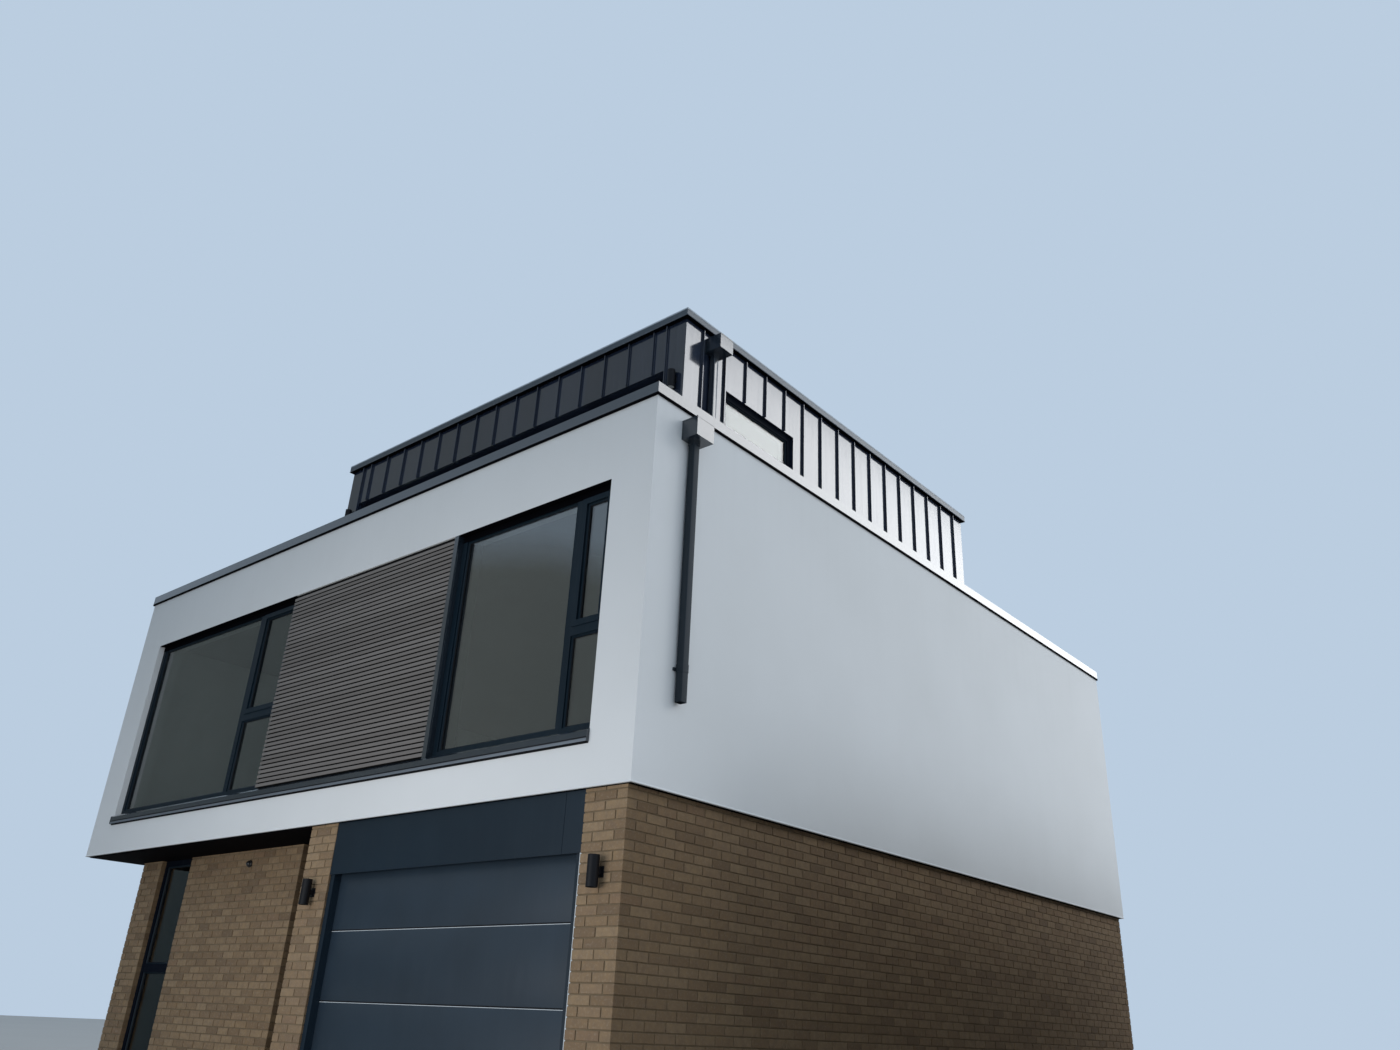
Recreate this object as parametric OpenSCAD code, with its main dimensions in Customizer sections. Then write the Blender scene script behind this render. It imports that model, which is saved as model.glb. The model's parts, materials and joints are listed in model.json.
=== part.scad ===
// Modern detached house: brick ground storey, rendered first-floor box that overhangs it,
// and a standing-seam penthouse set back on the roof terrace. Millimetres, +Z up.
// The front faces -Y. Places inside the modules run from the front left corner of the
// rendered box, at ground level, and house_frame() moves them to the middle of the footprint.

/* [Rendered box] */
// Width of the rendered first-floor box, face to face
box_w = 9390; // [8800:10:10400]
// Depth of the rendered box, front face to rear face
box_d = 9840; // [9000:10:11000]
// Height from the ground to the underside of the box
ground_h = 2740; // [2600:10:3000]
// Height of the rendered wall, underside to capping
wall_h = 3366; // [3300:2:3700]
// Thickness of the rendered walls
wall_t = 330; // [250:5:400]
// Height of the metal capping on the parapet
cap_h = 123; // [60:1:160]
// How far the capping stands proud of the render
cap_over = 16; // [10:1:60]
// Thickness of the first-floor slab
floor_t = 300; // [200:10:350]
// Depth of the terrace below the top of the rendered wall
parapet_up = 256; // [150:2:350]
// Thickness of the roof deck
deck_t = 340; // [250:10:380]

/* [Window band] */
// Render between the left corner and the window band
band_left = 525; // [400:5:700]
// Render between the window band and the right corner
band_right = 490; // [400:5:700]
// Underside of the box to the underside of the sill
band_low = 361; // [330:1:420]
// Height of the band, underside of the sill to the head
band_h = 2322; // [2100:2:2350]
// Depth of the window reveal, render face to frame face
reveal = 70; // [40:5:120]
// Width of the left window, reveal to slatted panel
left_win_w = 3326; // [2900:2:3700]
// Width of the right window, dark return to reveal
right_win_w = 2100; // [1900:10:2500]
// Visible width of a frame bar
bar_w = 65; // [50:1:90]
// Depth of a frame, front to back
frame_d = 90; // [70:5:120]
// Setback of the glass behind the frame's face
rebate = 30; // [15:1:40]
// Thickness of a glazing unit
glass_t = 28; // [20:2:40]
// Width of a mullion or transom
mullion_w = 80; // [60:2:110]
// Clear width of the left window's narrow column
left_col_w = 689; // [500:1:900]
// Clear width of the right window's narrow column
right_col_w = 369; // [300:1:500]
// Visible width of the bar at that column's outer side
right_bar = 35; // [25:1:60]
// Clear height of the lower panes in the narrow columns
low_pane_h = 798; // [600:2:1000]
// Width of the opening sash's own bars
sash_bar = 54; // [35:1:60]
// How far an opening sash stands proud of its frame
sash_proud = 8; // [0:1:15]
// Height of the sill's front face
sill_h = 81; // [50:1:100]
// How far the sill stands proud of the render
sill_over = 30; // [20:1:60]
// Height of the lip under the sill's nose
sill_lip = 30; // [15:1:40]
// How far that lip stands back from the nose
sill_step = 6; // [3:1:12]
// Height of the sill's slope behind its front face
sill_fall = 23; // [10:1:30]
// Thickness of the slatted panel
panel_t = 42; // [25:1:60]
// Height of the gap between the sill and the slatted panel
panel_gap = 20; // [10:1:40]
// How far the sill's nose runs past the left end of the opening
sill_past = 25; // [0:1:60]
// Width of the dark corner trim beside the panel
panel_trim = 58; // [30:2:80]

/* [Ground storey] */
// How far the brickwork stands in from the render, front and rear
brick_in = 38; // [30:1:80]
// How far the brickwork stands in from the render on the right
right_in = 58; // [30:1:90]
// How far the brickwork stands in from the render on the left
left_in = 272; // [120:2:320]
// Thickness of the brick walls
brick_t = 300; // [250:5:350]
// Width of a brick pier beside the garage
pier_w = 440; // [330:10:560]
// Width of the brick pier at the left end of the recess
end_pier_w = 480; // [330:10:560]
// Width of the garage opening, pier to pier
garage_w = 3365; // [3000:5:3500]
// Depth of the front recess, from the render face
recess_d = 631; // [500:1:900]
// Width of the tall window beside the left pier
tall_w = 773; // [700:1:1000]
// Width of the entrance gap between recess wall and middle pier
entrance_w = 1114; // [1000:2:1200]
// Thickness of the soffit boards
soffit_t = 12; // [8:1:25]
// Thickness of the ground-floor slab
slab_t = 100; // [80:5:200]

/* [Garage front] */
// Height of the flat metal fascia over the garage door
fascia_h = 478; // [300:2:600]
// Thickness of the fascia
fascia_t = 15; // [8:1:30]
// Distance from the fascia's right end to its upright joint
fascia_split = 222; // [100:2:400]
// Width of the joint in the fascia
fascia_gap = 4; // [2:1:8]
// Visible width of the garage door frame
garage_bar = 66; // [50:2:120]
// Depth of the garage door frame
garage_frame_d = 125; // [115:5:140]
// Setback of the door's face behind its frame
leaf_back = 75; // [40:1:80]
// Height of one door section
section_h = 593; // [520:1:620]
// Number of door sections
section_n = 4; // [4:1:4]
// Thickness of a door section
leaf_t = 40; // [35:1:45]
// Height and depth of the groove between two sections
groove = 7; // [4:1:12]
// Width of the pale edge strip beside the right pier
edge_w = 20; // [15:1:40]

/* [Entrance and tall window] */
// Setback of the entrance frame behind the recess wall's face
entrance_back = 200; // [100:5:220]
// Width of the entrance frame's bars
door_bar = 60; // [45:1:80]
// Height of the entrance door leaf
door_h = 2120; // [1950:5:2250]
// Thickness of the entrance door leaf
door_t = 60; // [45:1:70]
// Setback of the tall window behind the brick face
tall_back = 50; // [10:1:80]
// Height of the tall window's transom above the ground
tall_rail = 1445; // [1000:5:1800]
// Height of that transom
tall_bar = 90; // [60:2:120]

/* [Penthouse] */
// Setback of the penthouse from the front render face
pent_front = 1805; // [1500:5:2200]
// Setback of the penthouse from the other three faces
pent_in = 1363; // [1100:1:1700]
// Height of the penthouse above the capping, coping included
pent_rise = 2441; // [2300:1:2600]
// Thickness of the penthouse walls
pent_t = 250; // [200:5:300]
// Height of the coping round the penthouse roof
coping_h = 100; // [50:1:110]
// How far the coping stands proud of the wall
coping_over = 50; // [25:1:80]
// Height of the metal band over the penthouse glazing
pent_band = 605; // [500:1:700]
// Width of the solid cheeks beside the front glazing
cheek_w = 285; // [230:5:400]
// Setback of the penthouse's front and rear glazing behind the cladding
pent_reveal = 110; // [60:5:130]
// Setback of its side windows behind the cladding
side_reveal = 50; // [30:5:130]
// Distance from the penthouse's front corner to the side window
side_win_off = 758; // [700:2:900]
// Width of the penthouse side window
side_win_w = 1370; // [900:10:1800]
// Height of the penthouse sills above the terrace
pent_sill = 160; // [100:10:300]
// Clear width of the narrow end panes in the front glazing
end_pane_w = 517; // [300:1:560]
// Width of the paired posts in the penthouse glazing
post_w = 130; // [110:5:220]
// Thickness of the penthouse roof slab
roof_t = 280; // [200:10:320]
// Depth of the roof below the coping
roof_dip = 60; // [30:5:120]

/* [Rainwater goods and lights] */
// Width of a hopper head along the wall
hopper_w = 230; // [180:5:260]
// Reach of the lower hopper out from its wall
hopper_out = 180; // [130:5:220]
// Reach of the upper hopper out from its wall
upper_out = 235; // [130:5:260]
// Height of a hopper head
hopper_h = 190; // [150:5:230]
// Top of the lower hopper below the top of the rendered wall
lower_drop = 105; // [5:1:140]
// Top of the upper hopper below the coping
upper_drop = 107; // [15:1:160]
// Side of the square downpipe
pipe_w = 72; // [60:1:80]
// Gap between the downpipe and its wall
pipe_off = 15; // [8:1:25]
// Distance of the lower downpipe from the front render face
lower_pipe_y = 452; // [300:2:700]
// Distance of the upper downpipe from the penthouse's front face
upper_pipe_y = 460; // [400:2:600]
// Height at which the lower downpipe stops, above the ground
pipe_end = 3441; // [3300:1:3900]
// Height of a pipe clip
clip_h = 26; // [15:1:40]
// Reach of a pipe clip's lug beside the pipe
clip_lug = 26; // [15:1:40]
// Diameter of an up-and-down wall light
light_d = 90; // [60:1:110]
// Length of a wall light
light_h = 230; // [150:5:260]
// Clearance between a garage wall light and its wall
light_off = 37; // [25:1:50]
// Clearance between a penthouse wall light and its wall
pent_light_off = 7; // [4:1:8]
// Side of a wall light's square back plate
light_plate = 80; // [60:1:100]
// Thickness of that back plate
light_plate_t = 10; // [9:1:12]
// Height of the garage wall lights' middle above the ground
light_z = 2108; // [1700:2:2200]
// Height of the penthouse lights' middle above the capping
pent_light_z = 1532; // [1400:4:1700]
// Diameter of the dome light on the recess wall
dome_d = 80; // [60:1:120]
// Distance of the dome light from the recess wall's right end
dome_x = 1041; // [600:1:1500]
// Distance of the dome light below the soffit
dome_drop = 162; // [100:2:300]

/* [Rear] */
// Width of the patio opening
patio_w = 3900; // [3000:10:4500]
// Distance from the left brick face to the patio opening
patio_x = 900; // [600:10:1500]
// Height of the patio opening above the slab
patio_h = 2150; // [2000:10:2300]
// Width of the rear ground window
rear_win_w = 1800; // [1200:10:2200]
// Distance from the right brick face to the rear ground window
rear_win_x = 1200; // [900:10:2000]
// Height of the rear ground window's sill above the ground
rear_win_z = 1000; // [800:10:1200]

/* [Hidden] */

// Clearance at which a pane, sash or leaf sits in its frame
fit = 0.3;
// Smoothness of round pieces
round_fn = 48;

// Heights
wall_top = ground_h + wall_h;
cap_top = wall_top + cap_h;
deck_z = wall_top - parapet_up;
pent_top = cap_top + pent_rise;
coping_z = pent_top - coping_h;
pent_head = coping_z - pent_band;
roof_z = coping_z - roof_dip;
band_z = ground_h + band_low;
head_z = band_z + band_h;
frame_z = band_z + sill_h + sill_fall;
first_z = ground_h + floor_t;

// Lines across the house, from the left render face
brick_r = box_w - right_in;
garage_r = brick_r - pier_w;
garage_l = garage_r - garage_w;
middle_l = garage_l - pier_w;
recess_r = middle_l - entrance_w;
tall_l = left_in + end_pier_w;
tall_r = tall_l + tall_w;
band_l = band_left;
band_r = box_w - band_right;
panel_l = band_l + left_win_w;
panel_r = band_r - right_win_w;
pent_l = pent_in;
pent_r = box_w - pent_in;
patio_l = left_in + patio_x;
rear_win_r = brick_r - rear_win_x;

// Lines from front to rear, from the front render face
brick_back = box_d - brick_in;
recess_back = recess_d + brick_t;
entrance_y = recess_d + entrance_back;
pent_y = pent_front;
pent_back = box_d - pent_in;
leaf_y = brick_in + fascia_t + leaf_back;

// The whole footprint, capping, sills, hopper and lights included, whose middle is the origin
light_reach = light_off + light_d;
foot_l = -cap_over;
foot_r = box_w + max(cap_over, hopper_out);
foot_f = min(-cap_over, -sill_over, brick_in - light_reach);
foot_b = box_d + max(cap_over, sill_over);

module house_frame() {
  translate([-(foot_l + foot_r) / 2, -(foot_f + foot_b) / 2, 0]) children();
}

// A block between two corners
module block(low, high) {
  translate(low) cube(high - low);
}

// The same shape at the front and, turned about the middle of the box, at the rear
module front_and_rear() {
  children();
  translate([box_w, box_d, 0]) rotate([0, 0, 180]) children();
}

// A flat outline of X and Z, made solid from depth y to y + t
module upright(y, t) {
  translate([0, y + t, 0]) rotate([90, 0, 0]) linear_extrude(t) children();
}

// A rectangle from corner to corner
module pane(low, high) {
  translate(low) square(high - low);
}

// A window frame: an outer rectangle with its panes cut out, each [low, high]
module frame_outline(low, high, panes) {
  difference() {
    pane(low, high);
    for (p = panes) pane(p[0], p[1]);
  }
}

// The glazing units of a frame, each a little smaller than its pane
module glass_outline(panes, gap) {
  for (p = panes) pane(p[0] + [gap, gap], p[1] - [gap, gap]);
}

// Panes of the left window: a large fixed pane, then a narrow column of two
left_in_l = band_l + bar_w;
left_in_r = panel_l - bar_w;
left_mullion = left_in_r - left_col_w - mullion_w;
right_in_l = panel_r + bar_w;
right_in_r = band_r - right_bar;
right_mullion = right_in_r - right_col_w - mullion_w;
pane_low = frame_z + bar_w;
pane_high = head_z - bar_w;
rail_z = pane_low + low_pane_h;
left_panes = [
  [[left_in_l, pane_low], [left_mullion, pane_high]],
  [[left_in_r - left_col_w, pane_low], [left_in_r, rail_z]],
  [[left_in_r - left_col_w, rail_z + mullion_w], [left_in_r, pane_high]]
];
right_panes = [
  [[right_in_l, pane_low], [right_mullion, pane_high]],
  [[right_in_r - right_col_w, pane_low], [right_in_r, rail_z]],
  [[right_in_r - right_col_w, rail_z + mullion_w], [right_in_r, pane_high]]
];
function shrink(p, by) = [p[0] + [by, by], p[1] - [by, by]];
// Fixed panes, and the light inside each opening sash
function glazed(panes) = [panes[0], panes[1], shrink(panes[2], sash_bar + fit)];

module window_frame(low_x, high_x, panes) {
  upright(reveal, frame_d) frame_outline([low_x, frame_z], [high_x, head_z], panes);
}

module window_sash(panes) {
  opening = shrink(panes[2], fit);
  upright(reveal - sash_proud, frame_d + sash_proud)
    frame_outline(opening[0], opening[1], [shrink(opening, sash_bar)]);
}

module window_glass(panes) {
  upright(reveal + rebate, glass_t) glass_outline(glazed(panes), fit);
}

// Ground storey

module ground_slab() {
  color("silver") house_frame() {
    block([left_in + brick_t, recess_back, 0], [brick_r - brick_t, brick_back - brick_t, slab_t]);
    block([garage_l, brick_in + brick_t, 0], [brick_r - brick_t, recess_back, slab_t]);
  }
}

module brick_right_pier() {
  color("tan") house_frame()
    block([garage_r, brick_in, 0], [brick_r, brick_in + brick_t, ground_h]);
}

module brick_middle_pier() {
  color("tan") house_frame()
    block([middle_l, brick_in, 0], [garage_l, recess_back, ground_h]);
}

module brick_left_pier() {
  color("tan") house_frame()
    block([left_in, recess_d, 0], [tall_l, recess_back, ground_h]);
}

module brick_recess_wall() {
  color("tan") house_frame()
    block([tall_r, recess_d, 0], [recess_r, recess_back, ground_h]);
}

module brick_right_wall() {
  color("tan") house_frame()
    block([brick_r - brick_t, brick_in + brick_t, 0], [brick_r, brick_back - brick_t, ground_h]);
}

module brick_left_wall() {
  color("tan") house_frame()
    block([left_in, recess_back, 0], [left_in + brick_t, brick_back - brick_t, ground_h]);
}

module brick_rear_wall() {
  color("tan") house_frame() upright(brick_back - brick_t, brick_t) difference() {
    pane([left_in, 0], [brick_r, ground_h]);
    pane([patio_l, -1], [patio_l + patio_w, slab_t + patio_h]);
    pane([rear_win_r - rear_win_w, rear_win_z], [rear_win_r, slab_t + patio_h]);
  }
}

module garage_lintel() {
  color("gray") house_frame()
    block([garage_l, brick_in + fascia_t + garage_frame_d, section_n * section_h],
          [garage_r, brick_in + brick_t, ground_h]);
}

module garage_fascia() {
  split = garage_r - fascia_split;
  low_z = ground_h - fascia_h;
  color("darkslategray") house_frame() {
    block([garage_l, brick_in, low_z], [split - fascia_gap / 2, brick_in + fascia_t, ground_h]);
    block([split + fascia_gap / 2, brick_in, low_z], [garage_r, brick_in + fascia_t, ground_h]);
  }
}

module garage_frame() {
  color("darkslategray") house_frame()
    upright(brick_in + fascia_t, garage_frame_d)
      difference() {
        pane([garage_l, 0], [garage_r, ground_h]);
        pane([garage_l + garage_bar, -1], [garage_r - garage_bar, section_n * section_h + fit]);
      }
}

// One section of the door, with the step that makes the groove above it
module door_section(low_z) {
  block([garage_l + garage_bar + fit, leaf_y, low_z],
        [garage_r - garage_bar - fit, leaf_y + leaf_t, low_z + section_h - groove]);
  block([garage_l + garage_bar + fit, leaf_y + groove, low_z + section_h - groove],
        [garage_r - garage_bar - fit, leaf_y + leaf_t, low_z + section_h - fit]);
}

module garage_door() {
  color("slategray") house_frame()
    for (i = [0:section_n - 1]) door_section(i * section_h);
}

module garage_edge_strip() {
  strip_t = fascia_t - 3;
  color("gainsboro") house_frame()
    block([garage_r - edge_w, brick_in + fascia_t - strip_t, 0],
          [garage_r, brick_in + fascia_t, ground_h - fascia_h]);
}

module entrance_frame() {
  color("darkslategray") house_frame()
    upright(entrance_y, frame_d)
      difference() {
        pane([recess_r, 0], [middle_l, ground_h]);
        pane([recess_r + door_bar, -1], [middle_l - door_bar, door_h]);
      }
}

module entrance_door() {
  color("dimgray") house_frame()
    block([recess_r + door_bar + fit, entrance_y + rebate / 2, 0],
          [middle_l - door_bar - fit, entrance_y + rebate / 2 + door_t, door_h - fit]);
}

tall_panes = [
  [[tall_l + bar_w, bar_w], [tall_r - bar_w, tall_rail]],
  [[tall_l + bar_w, tall_rail + tall_bar], [tall_r - bar_w, ground_h - soffit_t - bar_w]]
];

module tall_window_frame() {
  color("darkslategray") house_frame()
    upright(recess_d + tall_back, frame_d)
      frame_outline([tall_l, 0], [tall_r, ground_h], tall_panes);
}

module tall_window_glass() {
  color("lightslategray") house_frame()
    upright(recess_d + tall_back + rebate, glass_t) glass_outline(tall_panes, fit);
}

// The soffit under the recess, the entrance and the overhang on the left
module soffit() {
  low_z = ground_h - soffit_t;
  color([0.13, 0.14, 0.16]) house_frame() {
    block([brick_in, brick_in, low_z], [middle_l, recess_d, ground_h]);
    block([brick_in, recess_d, low_z], [left_in, brick_back, ground_h]);
    block([recess_r, recess_d, low_z], [middle_l, entrance_y, ground_h]);
    block([tall_l, recess_d, low_z], [tall_r, recess_d + tall_back, ground_h]);
  }
}

// Rendered box

module first_floor() {
  color("silver") house_frame()
    block([wall_t, wall_t, ground_h], [box_w - wall_t, box_d - wall_t, first_z]);
}

// The front wall with its window band, in the plane of X and Z
module band_wall_outline() {
  difference() {
    pane([0, ground_h], [box_w, wall_top]);
    pane([band_l, band_z], [band_r, head_z]);
  }
}

module front_wall() {
  color("whitesmoke") house_frame() upright(0, wall_t) band_wall_outline();
}

module rear_wall() {
  color("whitesmoke") house_frame()
    translate([box_w, box_d, 0]) rotate([0, 0, 180]) upright(0, wall_t) band_wall_outline();
}

module right_wall() {
  color("whitesmoke") house_frame()
    block([box_w - wall_t, wall_t, ground_h], [box_w, box_d - wall_t, wall_top]);
}

module left_wall() {
  color("whitesmoke") house_frame()
    block([0, wall_t, ground_h], [wall_t, box_d - wall_t, wall_top]);
}

module slatted_panels() {
  color("rosybrown") house_frame() front_and_rear()
    block([panel_l, 0, frame_z + panel_gap], [panel_r - panel_trim, panel_t, head_z]);
}

module panel_backings() {
  color("darkslategray") house_frame() front_and_rear() {
    block([panel_l, panel_t, frame_z], [panel_r - panel_trim, wall_t, head_z]);
    block([panel_r - panel_trim, 0, frame_z], [panel_r, wall_t, head_z]);
  }
}

// The sill inside the opening, and its nose with the lip below, which runs past on the left
module window_sills() {
  lip_y = sill_step - sill_over;
  lip_z = band_z + sill_lip;
  color("darkslategray") house_frame() front_and_rear() {
    block([band_l, 0, band_z], [band_r, wall_t, frame_z]);
    translate([band_l - sill_past, 0, 0]) rotate([90, 0, 90])
      linear_extrude(band_r - band_l + sill_past)
        polygon([
          [lip_y, band_z], [0, band_z], [0, frame_z],
          [-sill_over, band_z + sill_h], [-sill_over, lip_z], [lip_y, lip_z]
        ]);
  }
}

module left_window_frame() {
  color("darkslategray") house_frame() window_frame(band_l, panel_l, left_panes);
}

module right_window_frame() {
  color("darkslategray") house_frame() window_frame(panel_r, band_r, right_panes);
}

module window_sashes() {
  color("slategray") house_frame() front_and_rear() {
    window_sash(left_panes);
    window_sash(right_panes);
  }
}

module front_window_glass() {
  color("lightslategray") house_frame() {
    window_glass(left_panes);
    window_glass(right_panes);
  }
}

// A ring of rectangular section round a rectangle of the plan
module ring(low, high, width, z0, z1) {
  translate([0, 0, z0]) linear_extrude(z1 - z0) difference() {
    pane(low, high);
    pane(low + [width, width], high - [width, width]);
  }
}

module main_capping() {
  color("darkslategray") house_frame()
    ring([-cap_over, -cap_over], [box_w + cap_over, box_d + cap_over],
         wall_t + 2 * cap_over, wall_top, cap_top);
}

module roof_deck() {
  color("gray") house_frame()
    block([wall_t, wall_t, deck_z - deck_t], [box_w - wall_t, box_d - wall_t, deck_z]);
}

// Penthouse

pent_glass_low = deck_z + pent_sill;

module pent_end_outline() {
  difference() {
    pane([pent_l, deck_z], [pent_r, coping_z]);
    pane([pent_l + cheek_w, pent_glass_low], [pent_r - cheek_w, pent_head]);
  }
}

module penthouse_front_wall() {
  color([0.2, 0.21, 0.23]) house_frame() upright(pent_y, pent_t) pent_end_outline();
}

module penthouse_rear_wall() {
  color([0.2, 0.21, 0.23]) house_frame() upright(pent_back - pent_t, pent_t) pent_end_outline();
}

// A side wall at its place across the house, with the side window cut through
module pent_side_wall(low_x) {
  difference() {
    block([low_x, pent_y + pent_t, deck_z], [low_x + pent_t, pent_back - pent_t, coping_z]);
    block([low_x - 1, pent_y + side_win_off, pent_glass_low],
          [low_x + pent_t + 1, pent_y + side_win_off + side_win_w, pent_head]);
  }
}

module penthouse_right_wall() {
  color([0.25, 0.26, 0.28]) house_frame() pent_side_wall(pent_r - pent_t);
}

module penthouse_left_wall() {
  color([0.25, 0.26, 0.28]) house_frame() pent_side_wall(pent_l);
}

module penthouse_roof() {
  color("gray") house_frame()
    block([pent_l + pent_t, pent_y + pent_t, roof_z - roof_t],
          [pent_r - pent_t, pent_back - pent_t, roof_z]);
}

module penthouse_coping() {
  color("slategray") house_frame()
    ring([pent_l - coping_over, pent_y - coping_over], [pent_r + coping_over, pent_back + coping_over],
         pent_t + 2 * coping_over, coping_z, pent_top);
}

// Panes of the front glazing: narrow, wide, middle, wide, narrow
glaze_l = pent_l + cheek_w;
glaze_r = pent_r - cheek_w;
wide_w = (glaze_r - glaze_l - 2 * bar_w - 2 * end_pane_w - 4 * post_w) / 3;
pane_starts = [
  glaze_l + bar_w,
  glaze_l + bar_w + end_pane_w + post_w,
  glaze_l + bar_w + end_pane_w + 2 * post_w + wide_w,
  glaze_l + bar_w + end_pane_w + 3 * post_w + 2 * wide_w,
  glaze_l + bar_w + end_pane_w + 4 * post_w + 3 * wide_w
];
pane_widths = [end_pane_w, wide_w, wide_w, wide_w, end_pane_w];
end_panes = [
  for (i = [0:4]) [
    [pane_starts[i], pent_glass_low + bar_w],
    [pane_starts[i] + pane_widths[i], pent_head - bar_w]
  ]
];
side_panes = [
  [[pent_y + side_win_off + bar_w, pent_glass_low + bar_w],
   [pent_y + side_win_off + side_win_w - bar_w, pent_head - bar_w]]
];

// An outline of Y and Z made solid from x to x + t
module upright_side(x, t) {
  translate([x, 0, 0]) rotate([90, 0, 90]) linear_extrude(t) children();
}

module penthouse_frames() {
  low = [glaze_l, pent_glass_low];
  high = [glaze_r, pent_head];
  side_low = [pent_y + side_win_off, pent_glass_low];
  side_high = [pent_y + side_win_off + side_win_w, pent_head];
  color("darkslategray") house_frame() {
    upright(pent_y + pent_reveal, frame_d) frame_outline(low, high, end_panes);
    upright(pent_back - pent_reveal - frame_d, frame_d) frame_outline(low, high, end_panes);
    upright_side(pent_r - side_reveal - frame_d, frame_d)
      frame_outline(side_low, side_high, side_panes);
    upright_side(pent_l + side_reveal, frame_d) frame_outline(side_low, side_high, side_panes);
  }
}

module penthouse_glass() {
  color("lightsteelblue") house_frame() {
    upright(pent_y + pent_reveal + rebate, glass_t) glass_outline(end_panes, fit);
    upright(pent_back - pent_reveal - rebate - glass_t, glass_t) glass_outline(end_panes, fit);
    upright_side(pent_r - side_reveal - rebate - glass_t, glass_t) glass_outline(side_panes, fit);
    upright_side(pent_l + side_reveal + rebate, glass_t) glass_outline(side_panes, fit);
  }
}

// Rainwater goods

// A box hopper against a wall whose face is at x, its top at z
module hopper(x, y, z, out) {
  block([x, y - hopper_w / 2, z - hopper_h], [x + out, y + hopper_w / 2, z]);
}

lower_top = wall_top - lower_drop;
upper_top = coping_z - upper_drop;

module rain_hoppers() {
  color("darkslategray") house_frame() {
    hopper(box_w, lower_pipe_y, lower_top, hopper_out);
    hopper(pent_r, pent_y + upper_pipe_y, upper_top, upper_out);
  }
}

// A square pipe with one clip, whose lug reaches out towards the front
module pipe_run(x, y, low_z, high_z, clip_z) {
  half = pipe_w / 2;
  block([x + pipe_off, y - half, low_z], [x + pipe_off + pipe_w, y + half, high_z]);
  block([x, y - half - clip_lug, clip_z],
        [x + pipe_off + 4, y + half + clip_lug, clip_z + clip_h]);
}

module downpipes() {
  clip_gap = 260;
  color("darkslategray") house_frame() {
    pipe_run(box_w, lower_pipe_y, pipe_end, lower_top - hopper_h, pipe_end + clip_gap);
    pipe_run(pent_r, pent_y + upper_pipe_y, deck_z, upper_top - hopper_h, deck_z + clip_gap);
  }
}

// A cylinder light on a square plate, the plate on a wall face at y and the light off by a clearance
module wall_light(x, y, z, off) {
  half = light_plate / 2;
  stem = light_plate / 4;
  translate([x, y - off - light_d / 2, z - light_h / 2])
    cylinder(h = light_h, d = light_d, $fn = round_fn);
  block([x - half, y - light_plate_t, z - half], [x + half, y, z + half]);
  block([x - stem, y - off - light_d / 4, z - stem], [x + stem, y - light_plate_t / 2, z + stem]);
}

module wall_lights() {
  color([0.08, 0.08, 0.09]) house_frame() {
    for (x = [middle_l + pier_w / 2, garage_r + pier_w / 2])
      wall_light(x, brick_in, light_z, light_off);
    for (x = [pent_l + cheek_w / 2, pent_r - cheek_w / 2])
      wall_light(x, pent_y, cap_top + pent_light_z, pent_light_off);
  }
}

module dome_light() {
  base_h = 22;
  color([0.08, 0.08, 0.09]) house_frame()
    translate([recess_r - dome_x, recess_d, ground_h - dome_drop]) rotate([90, 0, 0]) {
      cylinder(h = base_h, d = dome_d, $fn = round_fn);
      translate([0, 0, base_h]) intersection() {
        sphere(d = dome_d - 12, $fn = round_fn);
        cylinder(h = dome_d, d = dome_d, $fn = round_fn);
      }
    }
}

// Rear openings

patio_panes = [
  for (i = [0:2])
    let (w = (patio_w - 2 * bar_w - 2 * mullion_w) / 3)
      [[patio_l + bar_w + i * (w + mullion_w), slab_t + bar_w],
       [patio_l + bar_w + i * (w + mullion_w) + w, slab_t + patio_h - bar_w]]
];
rear_win_panes = [
  for (i = [0:1])
    let (w = (rear_win_w - 2 * bar_w - mullion_w) / 2)
      [[rear_win_r - rear_win_w + bar_w + i * (w + mullion_w), rear_win_z + bar_w],
       [rear_win_r - rear_win_w + bar_w + i * (w + mullion_w) + w, slab_t + patio_h - bar_w]]
];

module rear_frames() {
  y = brick_back - reveal - frame_d;
  color("darkslategray") house_frame() {
    upright(y, frame_d)
      frame_outline([patio_l, 0], [patio_l + patio_w, slab_t + patio_h], patio_panes);
    upright(y, frame_d)
      frame_outline([rear_win_r - rear_win_w, rear_win_z], [rear_win_r, slab_t + patio_h], rear_win_panes);
    translate([box_w, box_d, 0]) rotate([0, 0, 180]) {
      window_frame(band_l, panel_l, left_panes);
      window_frame(panel_r, band_r, right_panes);
    }
  }
}

module rear_glass() {
  y = brick_back - reveal - rebate - glass_t;
  color("lightslategray") house_frame() {
    upright(y, glass_t) glass_outline(patio_panes, fit);
    upright(y, glass_t) glass_outline(rear_win_panes, fit);
    translate([box_w, box_d, 0]) rotate([0, 0, 180]) {
      window_glass(left_panes);
      window_glass(right_panes);
    }
  }
}

ground_slab();
brick_right_pier();
brick_middle_pier();
brick_left_pier();
brick_recess_wall();
brick_right_wall();
brick_left_wall();
brick_rear_wall();
garage_lintel();
garage_fascia();
garage_frame();
garage_door();
garage_edge_strip();
entrance_frame();
entrance_door();
tall_window_frame();
tall_window_glass();
soffit();
first_floor();
front_wall();
right_wall();
left_wall();
rear_wall();
slatted_panels();
panel_backings();
window_sills();
left_window_frame();
right_window_frame();
window_sashes();
front_window_glass();
main_capping();
roof_deck();
penthouse_front_wall();
penthouse_right_wall();
penthouse_left_wall();
penthouse_rear_wall();
penthouse_roof();
penthouse_coping();
penthouse_frames();
penthouse_glass();
rain_hoppers();
downpipes();
wall_lights();
dome_light();
rear_frames();
rear_glass();
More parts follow.
